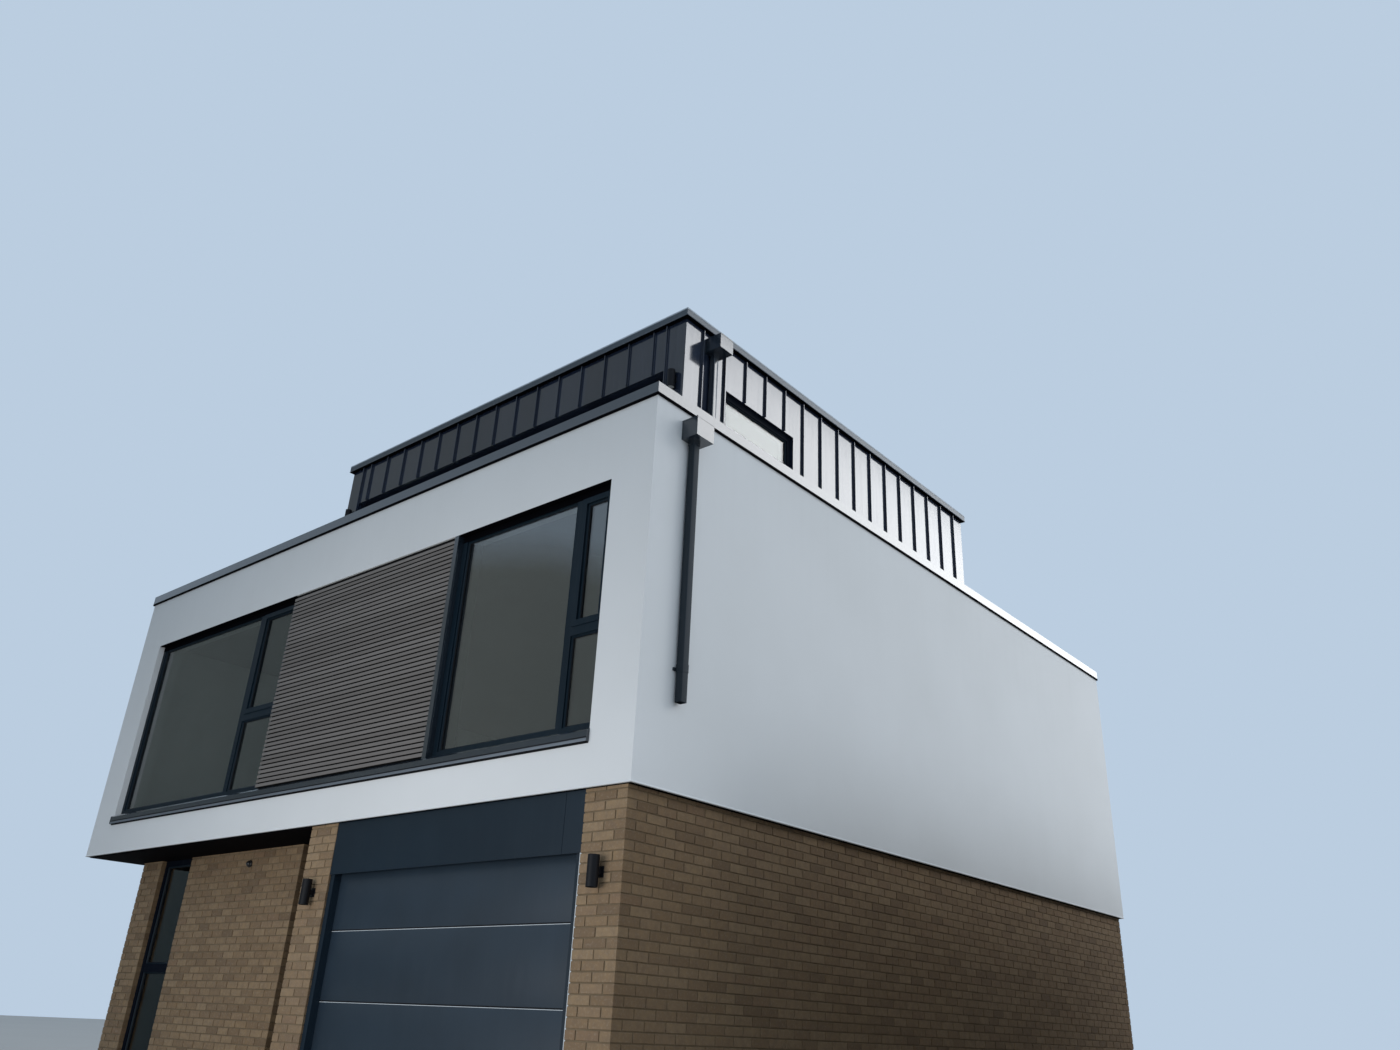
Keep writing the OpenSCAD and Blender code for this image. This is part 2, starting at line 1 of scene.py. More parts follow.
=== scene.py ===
# %% [markdown]
# # Dressing a modern detached house
# The house has a brick ground storey, a rendered first-floor box that overhangs it, and a
# metal-clad penthouse on the roof terrace. Its walls, slabs, frames and panes come ready packed,
# in metres. Each cell below gives one of them its finish, or adds the small repeated pieces that
# a wall, a window or a gutter really has. The first step is to load the house and measure it.

import json
import math
from functools import partial

import bmesh
import bpy
from mathutils import Matrix, Vector


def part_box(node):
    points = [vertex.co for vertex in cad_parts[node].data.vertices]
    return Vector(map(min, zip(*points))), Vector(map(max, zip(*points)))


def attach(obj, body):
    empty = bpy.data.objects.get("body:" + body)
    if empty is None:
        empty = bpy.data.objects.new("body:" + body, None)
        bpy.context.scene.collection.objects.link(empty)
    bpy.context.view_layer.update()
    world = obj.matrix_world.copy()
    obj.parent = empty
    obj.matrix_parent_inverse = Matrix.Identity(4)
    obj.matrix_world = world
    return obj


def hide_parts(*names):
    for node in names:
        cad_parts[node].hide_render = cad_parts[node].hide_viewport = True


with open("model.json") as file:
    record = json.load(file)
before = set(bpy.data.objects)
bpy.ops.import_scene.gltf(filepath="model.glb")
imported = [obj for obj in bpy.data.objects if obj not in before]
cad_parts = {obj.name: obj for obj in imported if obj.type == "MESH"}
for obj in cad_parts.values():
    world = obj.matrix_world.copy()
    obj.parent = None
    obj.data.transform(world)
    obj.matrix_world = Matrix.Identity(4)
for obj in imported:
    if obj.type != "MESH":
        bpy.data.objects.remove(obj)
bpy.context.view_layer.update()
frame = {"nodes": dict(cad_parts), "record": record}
nodes = frame["nodes"]
box = {name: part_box(name) for name in nodes}

# %% [markdown]
# ## The camera
# The picture is taken from close to the house and to its right, with the lens tilted well
# upwards. A camera could be aimed with a tracking constraint, but three plain angles and a stand
# point measured from the front wall's right end say more clearly where it is.

# %% Camera
STAND_RIGHT = 5.630  # metres to the right of the front wall's right end
STAND_FRONT = 5.840  # metres in front of that wall's face
EYE_HEIGHT = 1.064
HEADING = 40.975  # degrees, turned from straight ahead towards the left
TILT_UP = 25.143
ROLL = 2.785
LENS_MM = 27.85
SENSOR_MM = 36.0
FAR_CLIP = 400

front_low, front_high = box["front_wall"]
rear_high = box["rear_wall"][1]


def place_object(name, data):
    """Links a new object to the scene."""
    thing = bpy.data.objects.new(name, data)
    bpy.context.scene.collection.objects.link(thing)
    return thing


def place_camera():
    """Makes the camera at its stand point and makes it the scene's own."""
    lens = bpy.data.cameras.new("house_camera")
    lens.lens = LENS_MM
    lens.sensor_width = SENSOR_MM
    lens.clip_end = FAR_CLIP
    camera = place_object("house_camera", lens)
    spot = Vector((front_high.x + STAND_RIGHT, front_low.y - STAND_FRONT, EYE_HEIGHT))
    camera.matrix_world = (
        Matrix.Translation(spot)
        @ Matrix.Rotation(math.radians(HEADING), 4, "Z")
        @ Matrix.Rotation(math.radians(90 + TILT_UP), 4, "X")
        @ Matrix.Rotation(math.radians(ROLL), 4, "Z")
    )
    bpy.context.scene.camera = camera
    return camera


print("camera at", [round(v, 2) for v in place_camera().location])

# %% [markdown]
# ## Soft studio light and a pale floor
# Outdoors this house stands in the even light of a grey day. A plain world colour does the same
# work here. The metal on the right-hand side looks almost white because it mirrors a bright band
# of light, so one wide soft panel hangs high on the right, level with the side of the house,
# where those faces mirror it. A second one lights that side, and a third, low in front, lifts the
# white front wall. Three plain dark cards keep light away: one far on the left, which the panes
# and the garage door mirror, one floating above it for the penthouse's front, and one close to
# the right-hand brick wall. Their edges fade out, so no hard line is mirrored.

# %% World, soft panels and floor
DOME = (0.497, 0.611, 0.745, 1)
DOME_STRENGTH = 1.0
# Each panel: its centre, the way it faces, its size and its radiance.
PANELS = {
    "side_panel": ((24.6, 38.0, 22.8), (-1.0, 0.0, 0.0), (50.0, 17.6), 4.5),
    "side_fill": ((24.6, 3.5, 8.5), (-1.0, 0.0, 0.0), (17.0, 14.0), 1.0),
    "front_panel": ((2.3, -11.5, 1.5), (0.0, 1.0, 0.35), (6.0, 2.6), 4.5),
}
FLOOR_HALF = 90.0
FLOOR_TONE = (0.44, 0.42, 0.39, 1)
CARD_FOOT = (0.13, 0.15, 0.15, 1)
CARD_BODY = (0.57, 0.55, 0.48, 1)
FOOT_BLEND = 1.2  # metres over which a standing card's dark foot turns into its body
FLOAT_LIP = 0.1  # how far a floating card reaches below its foot's edge
CARD_LEVELS = 5
# Each card: its x, whether it floats, and its stations. A station gives the distance along the
# card, the edge of its foot, where it begins to fade, where it has gone, and how light it is. The
# high card stands a little behind the left one, so that the two sheets don't share a plane.
CARDS = {
    "left_card": (-16.0, False, [
        (-7.0, 3.0, 7.2, 7.9, 0.30), (-13.6, 5.0, 12.1, 13.1, 0.35), (-15.2, 5.6, 12.8, 14.0, 1.0),
        (-21.0, 7.5, 15.0, 16.6, 1.0), (-27.5, 8.6, 15.6, 17.8, 1.0),
    ]),
    "high_card": (-16.3, True, [
        (-8.0, 10.6, 20.0, 23.0, 0.6), (-10.4, 11.5, 22.0, 25.0, 0.6), (-13.6, 14.4, 25.0, 28.0, 0.7),
        (-20.0, 20.0, 31.0, 34.0, 0.9), (-26.0, 25.3, 36.0, 39.0, 0.9),
    ]),
    "right_card": (6.3, True, [(-3.6, 0.1, 3.0, 4.1, 0.4), (6.0, 0.1, 3.0, 4.1, 0.4)]),
}


def add_world():
    """An even pale dome all round."""
    world = bpy.data.worlds.new("grey_day")
    world.use_nodes = True
    shade = world.node_tree.nodes["Background"]
    shade.inputs["Color"].default_value = DOME
    shade.inputs["Strength"].default_value = DOME_STRENGTH
    bpy.context.scene.world = world


def add_panel(name, centre, facing, size, radiance):
    """A rectangular soft light that the camera doesn't see."""
    light = bpy.data.lights.new(name, "AREA")
    light.shape = "RECTANGLE"
    light.size, light.size_y = size
    light.energy = radiance * math.pi * size[0] * size[1]
    lamp = place_object(name, light)
    aim = Vector(facing).to_track_quat("-Z", "Y").to_matrix().to_4x4()
    lamp.matrix_world = Matrix.Translation(centre) @ aim
    lamp.visible_camera = False


def stage_sheet(name, points, faces, finish):
    """A sheet of the studio, which isn't part of the house."""
    mesh = bpy.data.meshes.new(name)
    mesh.from_pydata(points, [], faces)
    mesh.materials.append(finish)
    sheet = place_object(name, mesh)
    return sheet


def add_floor(finish):
    """A wide level sheet under the house."""
    corners = [(-1, -1), (1, -1), (1, 1), (-1, 1)]
    points = [(x * FLOOR_HALF, y * FLOOR_HALF, 0) for x, y in corners]
    stage_sheet("studio_floor", points, [(0, 1, 2, 3)], finish)


def add_card(name, x, floating, stations, finish):
    """An upright sheet that the camera doesn't see. It fades out at its top.

    A standing one has a dark foot. A floating one has one tone and fades in at its foot.
    """
    points, body, solid = [], [], []
    for y, foot, fade, top, tone in stations:
        base = foot - FLOAT_LIP if floating else 0.0
        points += [(x, y, z) for z in (base, foot, foot + FOOT_BLEND, fade, top)]
        body += [tone] * CARD_LEVELS if floating else [0, 0, tone, tone, tone]
        solid += [0, 0, 1, 1, 0] if floating else [1, 1, 1, 1, 0]
    faces = []
    for column in range(len(stations) - 1):
        for level in range(CARD_LEVELS - 1):
            low = column * CARD_LEVELS + level
            faces.append((low, low + CARD_LEVELS, low + CARD_LEVELS + 1, low + 1))
    card = stage_sheet(name, points, faces, finish)
    card.visible_camera = False
    for label, values in (("body", body), ("solid", solid)):
        attribute = card.data.attributes.new(label, "FLOAT", "POINT")
        attribute.data.foreach_set("value", [float(v) for v in values])


add_world()
for name, panel in PANELS.items():
    add_panel(name, *panel)
bpy.context.scene.view_settings.view_transform = "Standard"
print("soft panels:", ", ".join(PANELS))

# %% [markdown]
# ## Small tools for node trees
# Materials and geometry trees are both built from nodes and links. Typing each link by hand is
# long, so `add` makes a node and fills its inputs with plain values or other nodes' outputs, and
# `calc` adds one Math node. `sums` names several kinds of sum for one tree, so that a longer rule
# reads like a formula. `new_group` starts a reusable group with named sockets.

# %% Node helpers
FLOAT, VECTOR = "NodeSocketFloat", "NodeSocketVector"


def add(tree, kind, inputs=None, **settings):
    """Adds one node. An input takes a plain value or the output of another node."""
    node = tree.nodes.new(kind)
    for name, value in settings.items():
        setattr(node, name, value)
    for key, value in (inputs or {}).items():
        if isinstance(value, bpy.types.NodeSocket):
            tree.links.new(value, node.inputs[key])
        else:
            node.inputs[key].default_value = value
    return node


def calc(tree, operation, *values, clamp=False):
    """One Math node on one, two or three values."""
    inputs = dict(enumerate(values))
    return add(tree, "ShaderNodeMath", inputs, operation=operation, use_clamp=clamp).outputs[0]


def sums(tree, *operations):
    """One short function for each kind of Math node."""
    return [partial(calc, tree, operation) for operation in operations]


def mapped(tree, value, low, high, to_low=0.0, to_high=1.0):
    """Stretches a value from one range to another and holds it there."""
    inputs = {"Value": value, "From Min": low, "From Max": high, "To Min": to_low, "To Max": to_high}
    return add(tree, "ShaderNodeMapRange", inputs).outputs["Result"]


def blend(tree, factor, first, second):
    """One colour mixed with another."""
    return add(tree, "ShaderNodeMix", {0: factor, 6: first, 7: second}, data_type="RGBA").outputs[2]


def vector_math(tree, operation, first, second):
    """The outputs of one Vector Math node on two vectors."""
    return add(tree, "ShaderNodeVectorMath", {0: first, 1: second}, operation=operation).outputs


def parts_of(tree, vector):
    """A vector's X, Y and Z."""
    return add(tree, "ShaderNodeSeparateXYZ", {0: vector}).outputs


def combine(tree, **parts):
    """A vector made of its X, Y and Z."""
    return add(tree, "ShaderNodeCombineXYZ", parts).outputs[0]


def object_spot(tree):
    return add(tree, "ShaderNodeTexCoord").outputs["Object"]


def face_normal(tree):
    return add(tree, "ShaderNodeNewGeometry").outputs["True Normal"]


def noise(tree, spot, scale, detail, roughness=0.5):
    """Soft random clouds, about 0.5 on average."""
    inputs = {"Vector": spot, "Scale": scale, "Detail": detail, "Roughness": roughness}
    return add(tree, "ShaderNodeTexNoise", inputs).outputs["Fac"]


def attribute(tree, name):
    """A number that the mesh carries."""
    return add(tree, "ShaderNodeAttribute", attribute_name=name).outputs["Fac"]


def new_group(name, kind, inputs, outputs):
    """An empty node group, with its inner input and output sockets."""
    group = bpy.data.node_groups.new(name, kind)
    for label, socket_type, default in inputs:
        socket = group.interface.new_socket(label, in_out="INPUT", socket_type=socket_type)
        if default is not None:
            socket.default_value = default
    for label, socket_type in outputs:
        group.interface.new_socket(label, in_out="OUTPUT", socket_type=socket_type)
    given = group.nodes.new("NodeGroupInput").outputs
    result = group.nodes.new("NodeGroupOutput").inputs
    return group, given, result


print("kinds of group socket:", FLOAT, "and", VECTOR)

# %% [markdown]
# ## Effects that several finishes share
# Weather treats every outside surface alike: broad clouds of tone, fine speckle, streaks where
# rain runs down, splashes near the foot, and paint that is lighter along edges, partly as wear
# and partly as a painted highlight. Each effect is one node group on Object coordinates, so a
# pattern keeps its real size on a pier and on a long wall.

# %% Clouds, streaks, splashes, and edges lighter by wear and painted highlight
SHADER = "ShaderNodeTree"
effects = {}


def start_effect(name, sizes, outputs=("Mask",)):
    """A shader group with named sizes, kept under its own name."""
    inputs = [(label, FLOAT, size) for label, size in sizes.items()]
    group, given, result = new_group(name, SHADER, inputs, [(label, FLOAT) for label in outputs])
    effects[name] = group
    return group, given, result


def make_mottle():
    """Broad clouds and fine speckle, each from 0 to 1."""
    sizes = {"Cloud Size": 1.0, "Speckle Size": 0.01}
    group, given, result = start_effect("mottle", sizes, ("Cloud", "Speckle"))
    spot = object_spot(group)
    for label in ("Cloud", "Speckle"):
        scale = calc(group, "DIVIDE", 1.0, given[f"{label} Size"])
        clouds = noise(group, spot, scale, 3.0, 0.55)
        group.links.new(mapped(group, clouds, 0.3, 0.7), result[label])


def make_streaks():
    """Upright marks left by running rain, 1 where they are strongest."""
    group, given, result = start_effect("rain_streaks", {"Width": 0.05, "Length": 1.5})
    across = calc(group, "DIVIDE", 1.0, given["Width"])
    along = calc(group, "DIVIDE", 1.0, given["Length"])
    scale = combine(group, X=across, Y=across, Z=along)
    spot = vector_math(group, "MULTIPLY", object_spot(group), scale)[0]
    group.links.new(mapped(group, noise(group, spot, 1.0, 2.0), 0.45, 0.8), result["Mask"])


def make_splash():
    """Dust and splashes at the foot of a wall, 1 at its lowest."""
    group, given, result = start_effect("ground_splash", {"Height": 0.4})
    times, over, minus = sums(group, "MULTIPLY", "DIVIDE", "SUBTRACT")
    spot = object_spot(group)
    ragged = mapped(group, noise(group, spot, 5.0, 4.0), 0.25, 0.75, 0.4, 1.6)
    share = over(parts_of(group, spot)["Z"], times(given["Height"], ragged))
    group.links.new(minus(1.0, share, clamp=True), result["Mask"])


def make_edge_wear_and_glint():
    """Finds sharp edges by rounding the normal there, 1 on the edge."""
    group, given, result = start_effect("edge_wear_and_glint", {"Width": 0.004})
    rounded = add(group, "ShaderNodeBevel", {"Radius": given["Width"]}, samples=4).outputs[0]
    match = vector_math(group, "DOT_PRODUCT", rounded, face_normal(group))["Value"]
    group.links.new(mapped(group, match, 0.995, 0.8), result["Mask"])


def effect(tree, name, **sizes):
    """Places one shared effect in a material, with its own sizes."""
    node = add(tree, "ShaderNodeGroup", node_tree=effects[name])
    for label, size in sizes.items():
        node.inputs[label.replace("_", " ").title()].default_value = size
    return node.outputs


make_mottle()
make_streaks()
make_splash()
make_edge_wear_and_glint()
print("shared effects:", ", ".join(effects))

# %% [markdown]
# ## Painted metal and plastic
# Cappings, frames, hoppers, the garage door and the lights all have a coat of anthracite or
# black. One function can make them all: a colour, a gloss, faint clouds, dried rain and paint
# that is a little lighter along the edges, partly as wear and partly as a painted highlight.
# Each finish then only states what sets it apart.

# %% Painted finishes
DUST = (0.30, 0.29, 0.27, 1)
COAT_GLOSS = 0.08
PAINTS = {
    "anthracite_metal": {"colour": (0.014, 0.021, 0.030), "gloss": 0.16, "coat": 0.75},
    "window_frame": {"colour": (0.003, 0.010, 0.017), "gloss": 0.42, "shine": 0.15},
    "garage_panel": {"colour": (0.016, 0.028, 0.042), "gloss": 0.36, "dust": 0.01, "cloud": 0.7},
    "pale_strip": {"colour": (0.55, 0.58, 0.60), "gloss": 0.45, "dust": 0.2, "edge": 1.1},
    "black_metal": {"colour": (0.004, 0.004, 0.006), "gloss": 0.5, "shine": 0.2},
    "black_plastic": {"colour": (0.012, 0.012, 0.013), "gloss": 0.22, "dust": 0.05},
    # the hem's light tone is a painted highlight along the coping's top edge
    "hem_highlight": {"colour": (0.36, 0.40, 0.44), "gloss": 0.5, "edge": 1.1, "shine": 0.3, "peel": 0.00003},
    "smooth_coping": {"colour": (0.022, 0.036, 0.052), "gloss": 0.34, "coat": 0.2, "peel": 0.00003},
    "grey_lip": {"colour": (0.14, 0.16, 0.185), "gloss": 0.45, "edge": 1.2},
    "matt_pipe": {"colour": (0.014, 0.021, 0.028), "gloss": 0.55, "shine": 0.2},
    "matt_frame": {"colour": (0.003, 0.005, 0.010), "gloss": 0.7, "shine": 0.05, "edge": 1.2},
    "flat_panel": {
        "colour": (0.008, 0.017, 0.027), "gloss": 0.34, "coat": 0.05, "shine": 0.28, "dust": 0.005,
    },
}


def start_material(name, coat=0.0, shine=0.5):
    """A material with one Principled shader, its plain values set on the shader itself."""
    finish = bpy.data.materials.new(name)
    finish.use_nodes = True
    tree = finish.node_tree
    shader = tree.nodes["Principled BSDF"]
    plain = {"Metallic": 0.0, "Coat Weight": coat, "Coat Roughness": COAT_GLOSS, "Specular IOR Level": shine}
    for label, value in plain.items():
        shader.inputs[label].default_value = value
    return finish, tree, shader


def wire(tree, shader, colour, rough, height, depth, strength=1.0):
    """Feeds the shader its colour, its roughness, and a relief with its depth in metres."""
    inputs = {"Height": height, "Distance": depth, "Strength": strength}
    bump = add(tree, "ShaderNodeBump", inputs).outputs[0]
    for label, value in (("Base Color", colour), ("Roughness", rough), ("Normal", bump)):
        tree.links.new(value, shader.inputs[label])


def lighter(colour, factor):
    """The same colour, lighter or darker."""
    return tuple(min(1.0, c * factor) for c in colour[:3]) + (1,)


def tinted(tree, factor, body, colour, share):
    """Mixes in a colour where a mask says so, up to a share."""
    return blend(tree, calc(tree, "MULTIPLY", factor, share), body, colour)


def painted(name, colour, gloss=0.4, dust=0.02, coat=0.0, shine=0.5, cloud=1.2, edge=1.7, peel=0.0002):
    """A coat of paint or powder on metal or plastic."""
    finish, tree, shader = start_material(name, coat, shine)
    tone = effect(tree, "mottle", cloud_size=cloud, speckle_size=0.006)
    rain = effect(tree, "rain_streaks", width=0.035, length=0.9)["Mask"]
    wear_and_glint = effect(tree, "edge_wear_and_glint", width=0.005)["Mask"]
    body = blend(tree, tone["Cloud"], lighter(colour, 0.86), lighter(colour, 1.14))
    body = tinted(tree, rain, body, DUST, dust)
    # edges lighter: partly paint worn thin, partly a painted highlight
    body = tinted(tree, wear_and_glint, body, lighter(colour, edge), 0.6)
    rough = calc(tree, "MULTIPLY_ADD", tone["Speckle"], 0.08, gloss)
    rough = calc(tree, "MULTIPLY_ADD", rain, 0.03, rough)
    wire(tree, shader, body, rough, tone["Speckle"], peel, 0.35)
    return finish


finishes = {name: painted(name, **look) for name, look in PAINTS.items()}
print("painted finishes:", ", ".join(finishes))

# %% [markdown]
# ## White render
# The first-floor box is coated with fine white render. Close up it has a sandy float finish, and
# from a few metres away it shows soft clouds of grey and faint streaks under the capping. The wall
# also greys towards its top, more at the front and rear than at the sides: partly weathering and
# partly painted shade. Displacing so large a wall would cost far too many faces, so the grain is
# a bump and the rest is colour.

# %% White render
RENDER_WHITE = (0.735, 0.735, 0.73, 1)
RENDER_GREY = (0.62, 0.62, 0.605, 1)
RENDER_STAIN = (0.50, 0.50, 0.47, 1)
# the grey towards the wall's top and how strong it is: partly weathering, partly painted shade
GREY_AND_SHADE = (0.45, 0.465, 0.47, 1)
RENDER_GRAIN = 0.0016
STAIN_REACH = 1.4  # metres below the wall's top over which the rain's stains weaken
UNGREYED_FOOT = 0.3  # metres at the wall's foot that haven't weathered
TOP_GREY_AND_SHADE = 0.50  # how grey the front and the rear have weathered just under the capping
SIDE_GREY_AND_SHADE = 0.28  # the same on the two sides


def make_render():
    finish, tree, shader = start_material("white_render", shine=0.3)
    tone = effect(tree, "mottle", cloud_size=1.6, speckle_size=RENDER_GRAIN * 2)
    rain = effect(tree, "rain_streaks", width=0.10, length=2.4)["Mask"]
    top = parts_of(tree, object_spot(tree))["Z"]
    under_cap = mapped(tree, top, front_high.z - STAIN_REACH, front_high.z, 0.15, 1.0)
    body = tinted(tree, tone["Cloud"], RENDER_WHITE, RENDER_GREY, 0.35)
    body = tinted(tree, calc(tree, "MULTIPLY", rain, under_cap), body, RENDER_STAIN, 0.06)
    # painted shade, partly weathering: the wall greys towards its top, more where it faces front or back
    # than on the sides
    frontal = calc(tree, "ABSOLUTE", parts_of(tree, face_normal(tree))["Y"])
    height = mapped(tree, top, front_low.z + UNGREYED_FOOT, front_high.z)
    body = tinted(tree, height, body, GREY_AND_SHADE, mapped(tree, frontal, 0.0, 1.0, SIDE_GREY_AND_SHADE, TOP_GREY_AND_SHADE))
    rough = mapped(tree, tone["Speckle"], 0, 1, 0.78, 0.92)
    wire(tree, shader, body, rough, tone["Speckle"], RENDER_GRAIN, 0.5)
    return finish


finishes["white_render"] = make_render()
print("render grain of", RENDER_GRAIN * 1000, "mm")

# %% [markdown]
# ## Standing-seam sheets
# The penthouse wears coated metal sheets about 400 mm wide. They are glossy enough to mirror what
# is round them, and never quite flat. The finish numbers strips of a sheet's width along the
# wall, gives each number its own tone, and lets the whole surface swell very gently.

# %% Cladding finish
SHEET_PITCH = 0.406
CLADDING = (0.012, 0.018, 0.034)


def make_cladding():
    finish, tree, shader = start_material("seam_cladding", coat=0.7)
    spot = parts_of(tree, object_spot(tree))
    facing = parts_of(tree, face_normal(tree))
    sideways = calc(tree, "GREATER_THAN", calc(tree, "ABSOLUTE", facing["X"]), 0.5)
    along_y = calc(tree, "MULTIPLY", sideways, spot["Y"])
    along = calc(tree, "MULTIPLY_ADD", calc(tree, "SUBTRACT", 1.0, sideways), spot["X"], along_y)
    number = calc(tree, "FLOOR", calc(tree, "DIVIDE", along, SHEET_PITCH))
    chance = add(tree, "ShaderNodeTexWhiteNoise", {"W": number}, noise_dimensions="1D").outputs["Value"]
    tone = effect(tree, "mottle", cloud_size=0.45, speckle_size=0.004)
    rain = effect(tree, "rain_streaks", width=0.04, length=1.1)["Mask"]
    body = blend(tree, chance, lighter(CLADDING, 0.82), lighter(CLADDING, 1.2))
    body = tinted(tree, rain, body, DUST, 0.02)
    rough = calc(tree, "MULTIPLY_ADD", tone["Speckle"], 0.04, 0.14)
    rough = calc(tree, "MULTIPLY_ADD", rain, 0.06, rough)
    wire(tree, shader, body, rough, tone["Cloud"], 0.0012, 0.6)
    return finish


finishes["seam_cladding"] = make_cladding()
print("cladding sheets of", SHEET_PITCH * 1000, "mm")

# %% [markdown]
# ## Masonry finishes
# The imported brick walls become the mortar, and real bricks are laid on them further down. Each
# brick carries a number from 0 to 1, stored by the geometry tree, and the finish turns it into
# one of the kiln's shades: buff, tan, rose and brown. Fine pits and creases are bump. The
# brickwork on the two sides carries painted shade: it is darker and browner than at the front,
# by a share that depends only on which way a face looks.

# %% Mortar and brick finishes
KILN_SHADES = [
    (0.00, (0.185, 0.117, 0.062)),
    (0.14, (0.236, 0.150, 0.079)),
    (0.38, (0.272, 0.174, 0.091)),
    (0.62, (0.300, 0.198, 0.106)),
    (0.86, (0.335, 0.225, 0.124)),
    (1.00, (0.255, 0.156, 0.085)),
]
BRICK_SPOTS = (0.14, 0.10, 0.075, 1)
BRICK_BLOOM = (0.40, 0.33, 0.25, 1)
BRICK_DRIFT = (0.20, 0.155, 0.115, 1)
MORTAR_TONES = ((0.170, 0.124, 0.076, 1), (0.235, 0.174, 0.108, 1))
# painted shade on the two sides: its colour, and how far the brickwork there is darkened towards it
PAINTED_SIDE_SHADE = (0.050, 0.020, 0.000, 1)
PAINTED_SIDE_SHADE_SHARE = 0.38  # how far the brickwork of the two sides is darkened


def kiln_shade(tree, number):
    """Turns a brick's number into one of the kiln's shades."""
    shades = add(tree, "ShaderNodeValToRGB", {"Fac": number})
    ramp = shades.color_ramp
    while len(ramp.elements) < len(KILN_SHADES):
        ramp.elements.new(0.5)
    for element, (place, colour) in zip(ramp.elements, KILN_SHADES):
        element.position = place
        element.color = colour + (1,)
    return shades.outputs["Color"]


def splashed_and_side_shaded(tree, body, splash_height, splash):
    """Splashes at the foot of a wall, and painted shade that darkens the two sides."""
    low = effect(tree, "ground_splash", height=splash_height)["Mask"]
    sideways = calc(tree, "ABSOLUTE", parts_of(tree, face_normal(tree))["X"])
    return tinted(tree, sideways, tinted(tree, low, body, DUST, splash), PAINTED_SIDE_SHADE, PAINTED_SIDE_SHADE_SHARE)


def make_bricks():
    finish, tree, shader = start_material("brick_faces", shine=0.25)
    tone = effect(tree, "mottle", cloud_size=0.06, speckle_size=0.0045)
    drift = effect(tree, "mottle", cloud_size=1.8, speckle_size=0.02)
    shade = kiln_shade(tree, attribute(tree, "tone"))
    body = blend(tree, mapped(tree, tone["Cloud"], 0, 1, 0, 0.45), shade, BRICK_SPOTS)
    body = blend(tree, mapped(tree, drift["Speckle"], 0.55, 1, 0, 0.25), body, BRICK_BLOOM)
    body = splashed_and_side_shaded(tree, tinted(tree, drift["Cloud"], body, BRICK_DRIFT, 0.22), 0.35, 0.35)
    rough = mapped(tree, tone["Speckle"], 0, 1, 0.82, 0.96)
    pits = calc(tree, "MULTIPLY_ADD", tone["Speckle"], 0.4, tone["Cloud"])
    wire(tree, shader, body, rough, pits, 0.0022, 0.8)
    return finish


def make_mortar():
    finish, tree, shader = start_material("mortar", shine=0.2)
    tone = effect(tree, "mottle", cloud_size=0.5, speckle_size=0.002)
    body = splashed_and_side_shaded(tree, blend(tree, tone["Cloud"], *MORTAR_TONES), 0.3, 0.4)
    rough = mapped(tree, tone["Speckle"], 0, 1, 0.85, 0.97)
    wire(tree, shader, body, rough, tone["Speckle"], 0.0012)
    return finish


finishes["brick_faces"] = make_bricks()
finishes["brickwork"] = make_mortar()
print("kiln shades:", len(KILN_SHADES))

# %% [markdown]
# ## Boards, concrete, membrane and glass
# The remaining finishes are each one idea: brushed grooves along a composite board, trowel marks
# on concrete, a pebbly roof sheet, dark soffit boards, and a faintly tinted pane. The glass is
# real transmission in a closed pane, so the empty rooms behind it read as dark.

# %% Remaining finishes
BOARD_TONES = ((0.136, 0.121, 0.110, 1), (0.184, 0.166, 0.153, 1))
BOARD_GRAIN = (0.094, 0.083, 0.077, 1)
GRAIN_SCALE = (3.0, 3.0, 260.0)  # long along a board and very fine across it
PANE_TINTS = ((0.50, 0.56, 0.54, 1), (0.56, 0.61, 0.59, 1))
SEALED_UNIT_IOR = 2.0  # at this, a pane's two faces mirror as much as a sealed unit's four
PLAIN_GLASS_IOR = 1.55
# Each coated surface: its colour, gloss, the sizes of its clouds and speckle, and its relief.
COATS = {
    "concrete": ((0.36, 0.35, 0.33), 0.78, 0.8, 0.004, 0.001),
    "roof_membrane": ((0.17, 0.175, 0.18), 0.6, 1.5, 0.005, 0.0008, 0.1),
    # the soffit boards are dark, and near black here to paint the shade that falls under the box
    "soffit_board": ((0.005, 0.004, 0.005), 0.8, 0.9, 0.003, 0.0002, 0.15, 0.02),
    # black for the linings that paint shade under the box, the capping, the coping and the heads
    "shade_black": ((0.002, 0.002, 0.003), 0.85, 0.5, 0.003, 0.0001, 0.15, 0.02),
    "gasket_rubber": ((0.006, 0.006, 0.007), 0.6, 0.2, 0.002, 0.0001, 0.15, 0.2),
    "groove_board": ((0.006, 0.0055, 0.0055), 0.8, 0.5, 0.003, 0.0003, 0.15, 0.1),
    "porcelain_paving": ((0.30, 0.295, 0.285), 0.55, 0.35, 0.004, 0.0005, 0.2),
    "light_lens": ((0.55, 0.56, 0.55), 0.15, 0.1, 0.004, 0.0001, 0.05),
    "studio_floor": (FLOOR_TONE, 0.85, 6.0, 0.02, 0.0003, 0.02),
}


def coated(name, colour, gloss, cloud, speckle, depth, spread=0.15, shine=0.35):
    """A dull surface with clouds, speckle and relief."""
    finish, tree, shader = start_material(name, shine=shine)
    tone = effect(tree, "mottle", cloud_size=cloud, speckle_size=speckle)
    body = blend(tree, tone["Cloud"], lighter(colour, 1 - spread), lighter(colour, 1 + spread))
    rough = mapped(tree, tone["Speckle"], 0, 1, gloss, gloss + 0.12)
    wire(tree, shader, body, rough, tone["Speckle"], depth, 0.6)
    return finish


